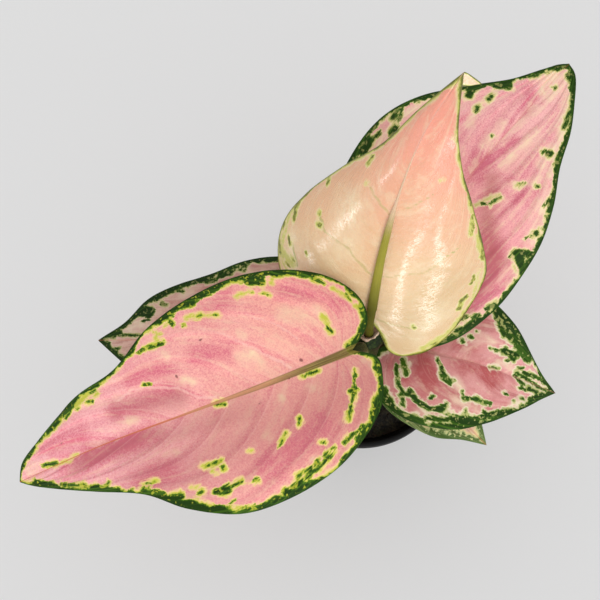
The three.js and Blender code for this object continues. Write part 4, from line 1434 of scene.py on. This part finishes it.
def back_right_leaf() -> Leaf:
    """The leaf at the back right: pink flushed with rose, cream along its green margin."""
    shape = LeafShape(
        midrib=((9, 14, 124), (30, 48, 138), (53, 81, 150), (80, 112, 158), (109, 144, 162)),
        left=((-9, 8), (-10, 18), (-2, 31), (15, 44), (37, 54), (62, 58), (84, 57), (103, 49), (122, 35),
              (142, 18), (157, 8.5), (165, 4)),
        right=((-9, 8), (-10, 17), (-3, 28), (13, 42), (37, 51), (63, 53), (86, 51), (106, 44), (124, 33),
               (142, 25), (157, 15), (166.5, 7)),
        fold=(8, 1), curl=(-12, -14), wave=(1.8, 3, 3.0),
        stalk=((2.6, 3.6, 84), (5.2, 8, 97), (7.4, 11.6, 112)), stalk_size=((6.4, 4.6), (2.2, 2.1)),
    )
    dabs = strokes(
        Mark.GREEN, (159.5, 6, 161.5, 5, 2.2), (150, 11, 153, 8.5, 2), (134, 21, 139, 15, 3.4),
        (125, 31.5, 131, 27, 5.6), (121.5, 28.5, 124.5, 29, 3.8), (127, 19, 128.5, 19, 2.8),
        (118, 20, 120, 20.5, 2.2), (164, -4.5, 165.5, -5, 4), (154.5, -2.5, 154.5, -3, 1.6),
        (113.5, 5, 113.5, 4.5, 1.3), (123.5, -21, 125.5, -22, 1.5), (124.5, -24, 126, -24.5, 2.6),
        (102, -23, 105.5, -24, 1.4), (108, -30, 108.5, -31, 1.8), (81.5, -13.5, 83, -17, 1.8),
        (83.5, -17, 87.5, -18, 2), (87.5, -18, 91, -19.5, 1.3), (105.5, -40, 107, -40, 1.9),
        (102.5, -40, 104.5, -40.5, 1.6), (86.5, -45.5, 87.5, -46, 2.8), (80, -43, 84, -45, 1.2),
        (92, -48, 94, -49, 2.4), (69.5, -44, 74, -50, 4.6), (67.5, -47, 64, -50.5, 5.6, 3.4),
        (69.5, -51.5, 62, -55, 3.8), (65.5, -42, 68.5, -42, 1.2), (56, -52, 57, -53, 1.8),
        (47, -52.5, 52, -53.5, 3.8), (33.5, -46, 39, -49, 2.8), (26, -42.5, 29, -44.5, 2.4),
        (22, -37, 24.5, -39.5, 2.4), (18.5, -43, 24.5, -45.5, 4.6), (15, -38.5, 17.5, -40.5, 2.8),
        (125, -30, 128, -28, 1.8), (121, -33, 119, -36, 1.4), (141, -21, 147, -19.5, 1.8),
        (146.5, -18, 151, -17.5, 2.2), (69, 54, 74.5, 54, 4.6), (89, 51, 91.5, 52, 2.2),
        (84, 47.5, 86, 47, 3.4), (82.5, 47, 83.5, 46.5, 1.8), (77, 53.5, 80.5, 52, 2),
        (93.5, 52, 95.5, 50.5, 1.2), (101.5, 47, 102.5, 46, 1.2), (12, -43.5, 17, -46.5, 4),
        (20, -51, 28, -55, 4), (32, -57, 42, -58, 4),
    ) + strokes(
        Mark.YELLOW, (79, -11.5, 92, -18.4, 2), (83, -46, 90, -46, 1.6), (63, -46, 60, -50, 1.6),
    ) + strokes(
        Mark.BLANCH, (80, -47, 100, -43, 7), (100, -41.5, 118, -34, 6), (118, -33, 140, -22, 6),
        (140, -21, 160, -9, 6), (106, 5, 122, 5, 4), (110, 17, 115, 20, 4), (150, -2.6, 160, -2.6, 7),
        (58, -46, 68, -52, 6), (18, -41, 36, -48, 6), (72, 50, 90, 49, 8), (95, 46, 112, 38, 5),
        (100, -22, 112, -30, 4), (118, -24, 128, -22, 5), (150, 2, 165, 4, 7), (50, -44, 66, -40, 4),
        (106, -10, 128, -12, 6),
    ) + strokes(
        # Deeper pink: near the foot, beside the young leaf, painted shadow of that leaf; the rest is the
        # leaf's own rose tint.
        Mark.FLUSH, (34, -34, 54, -40, 14, 10), (30, -30, 60, -34, 16), (44, -36, 66, -30, 12),
        (92, -2, 100, 2, 8), (134, 0, 146, 4, 6), (100, -2, 118, -6, 6), (96, -27, 112, -33, 6),
    ) + strokes(
        # Painted shadow where the young leaf shades this one near its foot.
        Mark.DULL, (30, -32, 60, -36, 14), (60, -34, 74, -24, 12, 8), (74, -22, 96, -10, 8),
        (50, -30, 60, -34, 10),
    )
    finish = BladeFinish(
        base=(0.83, 0.37, 0.37), tip=(0.9, 0.5, 0.47), deep=(0.62, 0.16, 0.22), dull=(0.36, 0.1, 0.08),
        pale=(0.87, 0.66, 0.46), fringe=(0.52, 0.5, 0.16), halo=(0.85, 0.7, 0.42), halo_share=0.85,
        rib_share=0.15, streaks=0.42, cream=0.45, grain=1.4, margin=2.2, blotched=6.5, dots=0.4,
    )
    return Leaf(
        node="leaf_back_right", slot="leaf_pink", shape=shape, finish=finish, dabs=dabs, seed=11, veins=7,
        scatters=(Scatter((20, 110), (34, 50), 8),), vein_bend=(0.35, 0.3), step=0.95,
    )


def back_left_leaf() -> Leaf:
    """The leaf at the back left: muted beige pink, mostly under the biggest one."""
    shape = LeafShape(
        midrib=((-16, 5, 115), (-45, 5, 118), (-79, 5, 115), (-113, 6, 107), (-145, 8, 95)),
        left=((-9, 9), (-10, 20), (0, 34), (22, 43), (46, 43), (67, 37), (87, 30), (104, 21), (118, 11)),
        right=((-9, 9), (-10, 20), (1, 35), (24, 44), (47, 43), (68, 36), (89, 29), (105, 21), (118, 9)),
        fold=(8, 4), curl=(-10, -10), wave=(1.5, 3, 1.2),
        stalk=((-4, 0.2, 83), (-9, 2, 93), (-13, 4.2, 105)), stalk_size=((6.2, 4.6), (2.1, 2)),
    )
    dabs = strokes(
        Mark.GREEN, (50.5, -43, 47.5, -40.5, 3.4), (62, -35, 55.5, -36.5, 3.4),
        (70.5, -32, 64.5, -32.5, 2.8), (86, -28, 83, -26, 2), (93.5, -25.5, 90.5, -26, 1.6),
        (94.5, -20, 92, -19, 1.9), (108, -16, 101.5, -15, 6.2), (105, -10, 102, -11, 2),
        (112, -12.5, 110, -14, 2.8), (124.5, -3.5, 119.5, -4, 2.8), (120, -2, 105.5, -3, 1.1),
        (129, -1.5, 122, -2, 1.6), (130.5, 1, 127, 3.5, 2), (120.5, 5, 117.5, 5.5, 0.9),
        (98, -22.5, 86, -29.5, 3.4), (84, -30, 66, -37, 3.4), (62, -38, 50, -42, 2.6),
        (64, -34, 58, -36, 1.4), (56, -39, 48, -37.5, 1.3), (118, -7.5, 112, -11, 2.4),
    ) + strokes(
        Mark.YELLOW, (124.5, -2, 121, -2, 1.2), (127, 3, 126, 3.5, 1.2),
    ) + strokes(
        Mark.BLANCH, (58, -38.5, 53.5, -39, 3), (49.5, -38, 46, -38, 4), (44, -36, 30, -38, 4),
        (109.5, -17, 108, -17, 2.4), (111, -14, 109, -15, 2), (100, -8, 118, -6, 5), (84, -24, 74, -28, 4),
        (96, -16, 104, -10, 5), (108, -9, 122, -6, 5),
    )
    finish = BladeFinish(
        base=(0.52, 0.29, 0.24), tip=(0.68, 0.44, 0.36), deep=(0.4, 0.15, 0.13),
        green=(0.008, 0.028, 0.001), mid_green=(0.035, 0.095, 0.004), pale=(0.72, 0.56, 0.42),
        fringe=(0.4, 0.4, 0.14), halo=(0.66, 0.56, 0.38), rib=(0.2, 0.16, 0.04), rib_share=0.25,
        vein=(0.6, 0.42, 0.34), streaks=0.5, cream=0.45, margin=2.0, blotched=6.0, fringe_width=0.7,
        dots=0.4,
    )
    return Leaf(
        node="leaf_back_left", slot="leaf_dull_pink", shape=shape, finish=finish, dabs=dabs, seed=17,
        veins=6, scatters=(Scatter((10, 110), (8, 38), 18),), rib_widths=(3, 2.2, 1.6, 1.1, 0.7),
    )


def front_right_leaf() -> Leaf:
    """The leaf at the front right: deep pink with many dark blotches."""
    shape = LeafShape(
        midrib=((18, 5, 109), (41, -3, 112), (64, -8, 108), (87, -14, 97), (109, -19, 80)),
        left=((-8, 10), (-9, 20), (0, 33), (20, 41), (42, 38), (60, 28), (75, 17), (89, 7)),
        right=((-8, 10), (-9, 20), (0, 32), (20, 40), (42, 38), (60, 30), (76, 18), (90, 8)),
        fold=(8, 8), curl=(-14, -14), wave=(1.6, 2.5, 2.2),
        stalk=((3.8, 0.6, 82), (9.5, 2, 89), (15, 4, 99.5)), stalk_size=((6, 4.6), (2.1, 2)),
    )
    dabs = strokes(
        Mark.GREEN, (7.5, -9, 10, -12, 2.4, 2.2), (10, -12, 12, -16, 2.4), (6, -13, 6.5, -17, 1.8),
        (7, -17.5, 9.5, -22, 1.6), (9.5, -22, 13, -26.5, 1.8), (12.5, -28, 16.5, -27, 2.4),
        (17, -25, 19.5, -27, 3.4), (19.5, -27, 24.5, -29.5, 3.4), (24.5, -29.5, 26, -30.5, 2.4),
        (26.5, -31, 32, -29, 2.8), (32, -28, 33.5, -26, 1.8), (14.5, -30, 16, -33.5, 1.8),
        (25.5, -3, 28.5, -9, 1.6, 2.2), (28.5, -9, 33.5, -14, 3), (35.5, -12, 36, -12, 1.2),
        (26, -25, 26.5, -24, 2.2), (40.5, -18, 42.5, -20.5, 1.6), (42, -20.5, 51, -19, 2.8),
        (51.5, -19.5, 59.5, -19, 2.4), (67, -11, 67.5, -11, 2.2), (72, -13.5, 73, -13, 1.1),
        (77, -10, 78.5, -10, 1.5), (54.5, 0, 59.5, 1, 0.9), (51.5, 10, 52, 10, 1.1),
        (54, 10, 59.5, 11, 0.9), (59.5, 11, 68, 12, 3.8), (63, 7, 64, 7, 2.2), (70.5, 1, 76, -1.5, 2.2),
        (76, -3.5, 77.5, -2, 1.3), (40, 13, 41, 13, 2.2), (35.5, 10.5, 36.5, 10, 2.4),
        (43, 17, 43.4, 17, 0.9), (54, 23, 57, 20, 3), (56, 21, 63, 20.5, 2.4), (18, -37, 22.5, -36.5, 1.1),
        (26.5, -36, 35, -34, 2.4), (34.5, -31, 37.5, -31, 1.8), (37.5, -32.5, 50, -31, 3.8),
        (44, -27, 45, -28.5, 1.2), (52, -29, 58.5, -27, 3), (56.5, -24, 59.5, -25, 2.4),
        (61, -25, 74, -19, 3.8), (4, -27, 7.5, -34, 3), (7.5, -34, 18, -39.5, 3), (71, 5, 75, 6, 1.4),
        (75.5, 4, 85, 4, 2.2), (85, 4, 92.5, 3, 1.2), (81, -3, 87, -4, 2.4), (86.5, -1, 101, 0.5, 0.9),
        (96, -1.5, 101, 0, 3), (44, 36, 54, 29, 6), (53, 28, 62, 21, 6.5), (62, 20, 76, 12, 7, 5),
        (20, 38, 44, 36, 4), (60, 12, 66, 9, 3), (4, -29, 9, -34, 4), (9, -34.5, 16, -38.5, 4.4),
        (16, -38, 24, -39, 4.4), (40, -35.5, 54, -31, 4), (70, 3, 92, -0.5, 1.8), (75, -5, 88, -3, 1.4),
    ) + strokes(
        Mark.YELLOW, (26, -38, 28, -38, 1.6), (32, -38, 34, -38, 1.6), (45, -34.5, 47, -34, 1.4),
        (52, 31, 53, 30, 1.4), (60, 25.5, 61, 25, 1.4), (70, 16, 71, 15, 1.4), (56, -28, 57, -28, 1.2),
        (83, -2, 90, -2, 1.8), (53, 27, 55, 26, 1.6), (64, 18, 66, 17, 1.8), (66, 12, 69, 11, 1.6),
        (8, -31, 9, -32, 1.5), (16, -36, 18, -36.5, 1.5),
    ) + strokes(
        Mark.FLUSH, (16, -4, 22, -12, 10, 9), (21, -9, 25, -20, 8, 5), (9, -16, 14, -18, 6),
        (34, 8, 42, 7, 7, 5), (52, -7, 58, -9, 4), (13, -29, 15, -29.5, 4), (34, -3, 60, -2, 7),
    ) + strokes(
        Mark.BLANCH, (72, 2, 90, 1, 5), (36, -12, 40, -16, 4), (24, -33, 36, -36, 4), (58, 4, 66, 4, 3),
        (38, -23, 56, -24, 4), (72, -16, 80, -12, 4), (40, 16, 52, 14, 4),
    )
    finish = BladeFinish(
        base=(0.62, 0.28, 0.26), tip=(0.76, 0.38, 0.36), deep=(0.44, 0.1, 0.1), pale=(0.82, 0.64, 0.46),
        fringe=(0.42, 0.44, 0.14), halo=(0.8, 0.7, 0.5), halo_share=0.9, rib=(0.2, 0.14, 0.03),
        rib_far=(0.5, 0.2, 0.16), rib_end=(0.55, 0.2, 0.18), rib_share=0.25, streaks=0.45, cream=0.35,
        margin=2.6, fringe_width=0.8,
    )
    return Leaf(
        node="leaf_front_right", slot="leaf_blotched", shape=shape, finish=finish, dabs=dabs, seed=23,
        veins=5, scatters=(Scatter((0, 34), (10, 34), 14),), rib_widths=(3, 2.2, 1.6, 1.1, 0.7), quilt=0.4,
        step=0.75,
    )


def small_low_leaf() -> Leaf:
    """The small leaf low at the front: cream with a green margin."""
    shape = LeafShape(
        midrib=((19, -2, 99), (31, -14, 101), (44, -26, 98), (57, -38, 93), (69, -49, 86)),
        left=((-6, 6), (-6, 14), (2, 21), (17, 25), (33, 23), (47, 16), (59, 7)),
        right=((-6, 6), (-6, 14), (2, 21), (17, 25), (33, 22.5), (46, 17.5), (58, 8)),
        fold=(8, 8), curl=(-10, -10), wave=(1, 2, 0.4),
        stalk=((2.6, -3.2, 83), (8.5, -6, 87), (14.5, -4, 93)), stalk_size=((5.2, 3.6), (1.8, 1.7)),
        rib_length=0.85,
    )
    finish = BladeFinish(
        base=(0.6, 0.45, 0.26), tip=(0.68, 0.5, 0.34), deep=(0.6, 0.32, 0.24), pale=(0.75, 0.62, 0.42),
        green=(0.075, 0.135, 0.028), mid_green=(0.44, 0.5, 0.2), fringe=(0.56, 0.56, 0.26), dots=1.0,
        rib_share=0.3, streaks=0.2, margin=3.4, blotched=7.0, fringe_width=1.0,
    )
    return Leaf(
        node="leaf_small_low", slot="leaf_pale", shape=shape, finish=finish, seed=29, veins=5,
        scatters=(Scatter((5, 58), (-20, 20), 16, (2, 6), (1, 2)),), rib_widths=(2.4, 1.6, 0.9), quilt=0.3,
        lumps=0.3, step=0.7,
    )


# ------------------------------------------------------------------ crown, cane, pot and soil


@dataclass
class Sheath:
    """The foot of the biggest leaf's stalk, wrapped round the young stalk like a cup."""

    node: str = "leaf_front_left"
    slot: str = "leaf_pink"
    rings: tuple[tuple[float, ...], ...] = (
        (0, 0, 87, 6.7, 4), (0.3, -0.2, 94, 7, 4), (0.9, -0.4, 103, 6.9, 4), (1.8, -0.4, 113, 6.6, 3.9),
        (2.3, 1.4, 121, 6.8, 3.0), (2.4, 3.4, 128.5, 8.4, 2.2), (2.2, 4.6, 133.4, 8.8, 2.2),
        (1.8, 6.0, 136.6, 6.2, 5.4),
    )
    sides: int = 96
    stations: int = 60
    throat: int = 26
    lip_from: float = 0.7
    lip_thin_from: float = 0.8
    lip_round: float = 0.15
    rib_count: int = 11
    rib_rise: float = 0.09
    dry_from: float = 0.975
    dry_most: float = 0.7
    seed: int = 41

    def build(self, effects: Effects) -> Piece:
        """Builds the cup: outside up, round the lip, and down the inside."""
        turn = steps_round(self.sides)
        wander = LumpNoise(self.seed).layered(3 * np.cos(turn), 3 * np.sin(turn), 1.6)
        ribs = self.rib_rise * np.sin(turn * self.rib_count + 0.7)
        shares = np.linspace(0, 1, self.stations)
        stations = list(zip(shares, catmull_rom(np.array(self.rings, float), shares)))
        rings, dry = [], []
        for share, (x, y, z, outer, _) in stations:
            radius = outer + (ribs + 0.25 * wander) * min(share * 4, 1)
            rings.append((share, (x, y, z), radius))
            dry.append(self.dry_most * smoothstep(self.dry_from, 1.02, share + 0.03 * wander))
        for k, (share, (x, y, z, outer, inner)) in enumerate(stations[:self.throat - 1:-1]):
            thin = inner + (outer - inner) * 0.45 * float(smoothstep(self.lip_thin_from, 1.0, share))
            rings.append((share, (x, y, z - (self.lip_round if k else -self.lip_round)), thin + 0.2 * wander))
            dry.append(np.full(self.sides, 1.0 if k < 2 else self.dry_most))
        points = [
            round_axis(radius, turn, wander * max(share - self.lip_from, 0) / 0.3) + middle
            for share, middle, radius in rings
        ]
        skin = Skin()
        values = {"dry": np.concatenate(dry)}
        skin.add(np.concatenate(points), tube_faces(len(rings), self.sides), 0, values)
        piece = skin.piece("stalk_sheath_grown", [SheathFinish().material(effects)])
        return stand_for(piece, self.node)


@dataclass
class Cane:
    """The short cane that the leaves grow from, ringed by old leaf scars."""

    node: str = "stem"
    slot: str = "stem"
    radius: float = 5.2
    foot: float = 40.0
    top: float = 96.0
    taper: float = 0.8
    ring_step: float = 9.0
    ring_half: float = 0.9
    ring_rise: float = 0.35
    rough_rise: float = 0.15
    sides: int = 48
    stations: int = 113
    seed: int = 51

    def build(self) -> Piece:
        """Builds the cane."""
        z = np.linspace(self.foot, self.top, self.stations)
        near = np.abs((z - self.foot + self.ring_step / 2) % self.ring_step - self.ring_step / 2)
        ring = hump(near, self.ring_half)
        taper = 1 + (self.taper - 1) * ((z - self.foot) / (self.top - self.foot)) ** 3
        grid_z, grid_turn = np.meshgrid(z, steps_round(self.sides), indexing="ij")
        rough = self.rough_rise * LumpNoise(self.seed).layered(grid_turn * 6, grid_z, 4.0)
        radius = self.radius * taper[:, None] + self.ring_rise * ring[:, None] + rough - 0.2
        points = round_axis(radius, grid_turn, grid_z).reshape(-1, 3)
        skin = Skin()
        skin.add(points, tube_faces(self.stations, self.sides), 0, {"scar": np.repeat(ring, self.sides)})
        return stand_for(skin.piece("stem_grown", [CaneFinish().material()]), self.node)


@dataclass
class Pot:
    """Thin round nursery pot with a rim band and drain holes in its floor."""

    node: str = "pot"
    slot: str = "pot"
    height: float = 88.0
    rim_radius: float = 50.0
    rim_band: float = 9.0
    wall_top: float = 46.5
    wall_base: float = 36.0
    wall: float = 1.5
    floor: float = 2.0
    holes: int = 8
    hole_radius: float = 3.5
    hole_inset: float = 8.0
    sides: int = 192
    round_sharp: float = 0.5
    round_soft: float = 1.0
    sharp_angle: float = 35.0

    def profile(self) -> list[Point]:
        """Outline of the wall, from under the floor out, over the rim and down the inside."""
        band, inside, rim = self.height - self.rim_band, self.wall_base - self.wall, self.rim_radius
        sharp, soft = self.round_sharp, self.round_soft
        return rounded([
            (self.wall_base - 6, 0.0, 0), (self.wall_base - 1.2, 0.0, sharp), (self.wall_base, 1.2, soft),
            (self.wall_top, band, sharp), (rim - 0.6, band, sharp), (rim, band + 1, sharp),
            (rim, self.height - 0.8, soft), (rim - 1.0, self.height, sharp),
            (rim - self.wall - 0.9, self.height, sharp), (self.wall_top - self.wall, band, soft),
            (inside, self.floor, sharp), (inside - 6, self.floor, 0),
        ])

    def drill(self) -> Piece:
        """Makes the pegs that cut the drain holes."""
        pegs = bmesh.new()
        reach = (self.wall_base - self.hole_inset) * MM
        for i in range(self.holes):
            turn = (i + 0.5) * 2 * math.pi / self.holes
            place = Matrix.Translation((reach * math.cos(turn), reach * math.sin(turn), self.floor / 2 * MM))
            bmesh.ops.create_cone(pegs, cap_ends=True, segments=40, radius1=self.hole_radius * MM,
                                  radius2=self.hole_radius * MM, depth=3 * self.floor * MM, matrix=place)
        mesh = bpy.data.meshes.new("drill")
        pegs.to_mesh(mesh)
        pegs.free()
        drill = bpy.data.objects.new("drill", mesh)
        bpy.context.scene.collection.objects.link(drill)
        return drill

    def build(self) -> Piece:
        """Builds the pot and drills its floor."""
        skin = Skin()
        skin.add(*turned(self.profile(), self.sides), 0)
        piece = skin.piece("pot_moulded", [PotFinish().material()])
        drill = self.drill()
        cut = piece.modifiers.new("drain_holes", "BOOLEAN")
        cut.object = drill
        cut.solver = "EXACT"
        cut_piece = piece.evaluated_get(bpy.context.evaluated_depsgraph_get())
        drilled = bpy.data.meshes.new_from_object(cut_piece)
        piece.modifiers.remove(cut)
        piece.data = drilled
        bpy.data.objects.remove(drill)
        drilled.set_sharp_from_angle(angle=math.radians(self.sharp_angle))
        return stand_for(piece, self.node)


@dataclass(frozen=True)
class Bits:
    """One kind of loose bits on the soil."""

    count: int
    size: Point
    flat: float
    stretch: float
    finish: CrumbFinish
    big_share: float = 0.25

    def size_of_one(self, rng: np.random.Generator) -> float:
        """Draws half the width of one bit. Most are small."""
        if rng.random() < self.big_share:
            return rng.uniform(*self.size)
        return self.size[0] + (self.size[1] - self.size[0]) * rng.random() ** 3


@dataclass
class Soil:
    """Damp black potting soil with crumbs, bits of bark and a little perlite."""

    node: str = "soil"
    slot: str = "soil"
    top: float = 78.0
    edge_drop: float = 1.0
    edge_width: float = 8.0
    floor: float = 2.3
    radius_top: float = 44.3
    radius_floor: float = 34.2
    lumps: tuple[tuple[float, ...], ...] = (
        (0.55, 0.049, 0.043, 1.3), (0.55, 0.049, -0.043, 1.3), (0.55, -0.065, 0.099, 0),
        (0.4, 0.132, 0.111, 1.6),
    )
    rings: int = 80
    sides: int = 220
    kinds: tuple[Bits, ...] = (
        Bits(620, (0.5, 1.9), 0.7, 1.3, CrumbFinish(
            "potting_soil", (0.004, 0.0035, 0.0025), (0.05, 0.04, 0.022), (0.035, 0.038, 0.012))),
        Bits(26, (0.9, 1.9), 0.35, 2.2, CrumbFinish(
            "bark_chip", (0.03, 0.016, 0.008), (0.12, 0.07, 0.035), (0.05, 0.045, 0.015))),
        Bits(9, (0.6, 1.1), 0.9, 1.1, CrumbFinish(
            "perlite", (0.35, 0.33, 0.28), (0.7, 0.68, 0.6), (0.3, 0.28, 0.18))),
    )
    noise_seed: int = 61
    bits_seed: int = 7

    def __post_init__(self) -> None:
        """Starts the noise."""
        self.noise = LumpNoise(self.noise_seed)

    def height_at(self, x: Array, y: Array) -> Array:
        """Height of the soil's surface."""
        lump = sum(h * np.sin(2 * np.pi * (p * x + q * y) + start) for h, p, q, start in self.lumps)
        edge = smoothstep(self.radius_top - self.edge_width, self.radius_top, np.hypot(x, y))
        fine = 0.45 * self.noise.layered(x, y, 4.0, 4)
        return self.top + lump * (1 - edge * 2 / 3) - self.edge_drop * edge + fine * (1 - 0.5 * edge)

    def scatter(self, skin: Skin, rng: np.random.Generator, bits: Bits, slot: int) -> None:
        """Scatters loose bits over the surface.

        Args:
            skin: Where they go.
            rng: Random numbers.
            bits: The kind of bits.
            slot: Their material slot.
        """
        ball = bmesh.new()
        bmesh.ops.create_icosphere(ball, subdivisions=2, radius=1.0)
        shape = np.array([v.co[:] for v in ball.verts])
        faces = [tuple(v.index for v in f.verts) for f in ball.faces]
        ball.free()
        east, north, up = shape.T
        for k in range(bits.count):
            half = bits.size_of_one(rng)
            reach = (self.radius_top - 1.5 - half * bits.stretch) * math.sqrt(rng.random())
            around = rng.uniform(0, 2 * np.pi)
            x, y = reach * math.cos(around), reach * math.sin(around)
            rough = 1 + 0.3 * self.noise.layered(east * 3 + 11 * k, north * 3 + up * 2, 1.4, 2)
            bit = shape * rough[:, None] * (half * bits.stretch, half, half * bits.flat)
            yaw, tilt = rng.uniform(0, np.pi), rng.normal(0, 0.3)
            turn = np.array(Matrix.Rotation(yaw, 3, "Z") @ Matrix.Rotation(tilt, 3, "Y"))
            ground = self.height_at(np.array([x]), np.array([y]))[0]
            skin.add(bit @ turn.T + (x, y, ground + half * bits.flat * 0.35), faces, slot)

    def build(self, effects: Effects) -> Piece:
        """Builds the soil as one body of surface, sides and bits."""
        turn = steps_round(self.sides)
        radii = self.radius_top * (np.arange(self.rings, 0, -1) / self.rings)
        surface = np.concatenate([round_axis(radius, turn, 0.0) for radius in radii])
        surface[:, 2] = self.height_at(surface[:, 0], surface[:, 1])
        low = round_axis(self.radius_floor, turn, self.floor)
        skin = Skin()
        skin.add(np.concatenate([low, surface]), tube_faces(self.rings + 1, self.sides), 0)
        rng = np.random.default_rng(self.bits_seed)
        for slot, bits in enumerate(self.kinds):
            self.scatter(skin, rng, bits, slot)
        materials = [bits.finish.material(effects) for bits in self.kinds]
        return stand_for(skin.piece("soil_crumbly", materials), self.node)


# ------------------------------------------------------------------ studio


@dataclass(frozen=True)
class Softbox:
    """A soft light that shines on the plant alone, so that the floor stays even.

    It hangs bearing degrees round from the front, positive to the right, height degrees above the horizon
    and reach millimetres off, seen from the plant. Its size is in millimetres.
    """

    name: str
    bearing: float
    height: float
    reach: float
    size: Point
    watts: float

    def hang(self, aim: Place, lit: bpy.types.Collection) -> None:
        """Hangs the light, aimed at a place.

        Args:
            aim: What it points at, in millimetres.
            lit: What it shines on.
        """
        data = bpy.data.lights.new(self.name, "AREA")
        data.shape = "RECTANGLE"
        data.size, data.size_y = (side * MM for side in self.size)
        data.energy = self.watts
        lamp = bpy.data.objects.new(self.name, data)
        turn, rise = math.radians(self.bearing), math.radians(self.height)
        away = Vector((math.sin(turn) * math.cos(rise), -math.cos(turn) * math.cos(rise), math.sin(rise)))
        lamp.location = (Vector(aim) + away * self.reach) * MM
        lamp.rotation_euler = away.to_track_quat("Z", "Y").to_euler()
        lamp.light_linking.receiver_collection = lit
        bpy.context.scene.collection.objects.link(lamp)


@dataclass
class Studio:
    """Plain pale floor, soft light and the camera at the photograph's viewing angle."""

    elevation: float = 77.0
    distance: float = 850.0
    aim: Place = (-33.56, 30.86, 95.12)
    sensor: float = 36.0
    focal_pixels: float = 1530.0
    picture_pixels: float = 600.0
    clip_end: float = 50.0
    floor_half: float = 6000.0
    floor_colour: Colour = (0.5, 0.5, 0.5)
    floor_mottle: float = 0.985
    floor_glow: float = 0.345
    world_strength: float = 0.78
    softboxes: tuple[Softbox, ...] = (
        Softbox("key", 35, 46, 1300, (450, 450), 5.0),
        Softbox("overhead", 175, 73, 1100, (260, 260), 0.8),
        Softbox("left_strip", -64, 10, 900, (100, 260), 1.0),
        Softbox("front_strip", 4, 9, 900, (140, 300), 1.4),
        Softbox("right_strip", 24, 6, 900, (100, 220), 0.8),
    )

    def camera(self) -> None:
        """Adds the camera."""
        data = bpy.data.cameras.new("camera")
        data.sensor_width = self.sensor
        data.lens = self.focal_pixels / self.picture_pixels * self.sensor
        data.clip_end = self.clip_end
        camera = bpy.data.objects.new("camera", data)
        rise = math.radians(self.elevation)
        away = np.array([0.0, -math.cos(rise), math.sin(rise)]) * self.distance
        camera.location = (np.array(self.aim) + away) * MM
        camera.rotation_euler = (math.radians(90 - self.elevation), 0, 0)
        bpy.context.scene.collection.objects.link(camera)
        bpy.context.scene.camera = camera

    def floor(self) -> None:
        """Adds the floor, which glows a little so that the plant's shade on it stays faint."""
        half = self.floor_half
        skin = Skin()
        corners = [(-half, -half, 0.0), (half, -half, 0.0), (half, half, 0.0), (-half, half, 0.0)]
        skin.add(np.array(corners), [(0, 1, 2, 3)], 0)
        material, wire, shader = new_material("pale_floor")
        darker = tuple(self.floor_mottle * c for c in self.floor_colour)
        wire.feed_all(
            shader, Base_Color=wire.blend(wire.noise(wire.local(), 0.8), self.floor_colour, darker),
            Roughness=0.9, Specular_IOR_Level=0.2, Emission_Color=(1.0, 1.0, 1.0),
            Emission_Strength=self.floor_glow)
        skin.piece("studio_floor", [material])

    def build(self, pieces: list[Piece]) -> None:
        """Builds the studio round the plant's pieces."""
        self.floor()
        self.camera()
        world = bpy.data.worlds.new("soft_sky")
        world.use_nodes = True
        sky = world.node_tree.nodes["Background"]
        Wiring(world.node_tree).feed_all(sky, Color=(1.0, 1.0, 1.0), Strength=self.world_strength)
        bpy.context.scene.world = world
        lit = bpy.data.collections.new("lit_by_softboxes")
        for piece in pieces:
            lit.objects.link(piece)
        for softbox in self.softboxes:
            softbox.hang(self.aim, lit)
        bpy.context.scene.view_settings.view_transform = "Standard"


# ------------------------------------------------------------------ all of it


def main() -> None:
    """Builds every piece in order and reports it."""
    logging.basicConfig(level=logging.INFO, format="%(message)s")
    effects = Effects()
    leaves = (front_left_leaf, young_leaf, back_right_leaf, back_left_leaf, front_right_leaf, small_low_leaf)
    pieces = [Pot().build(), Soil().build(effects), Cane().build(), Sheath().build(effects),
              *(leaf().build(effects) for leaf in leaves)]
    for piece in pieces:
        LOG.info("%s: %d faces", piece.name, len(piece.data.polygons))
    Studio().build(pieces)


if __name__ == "__main__":
    main()
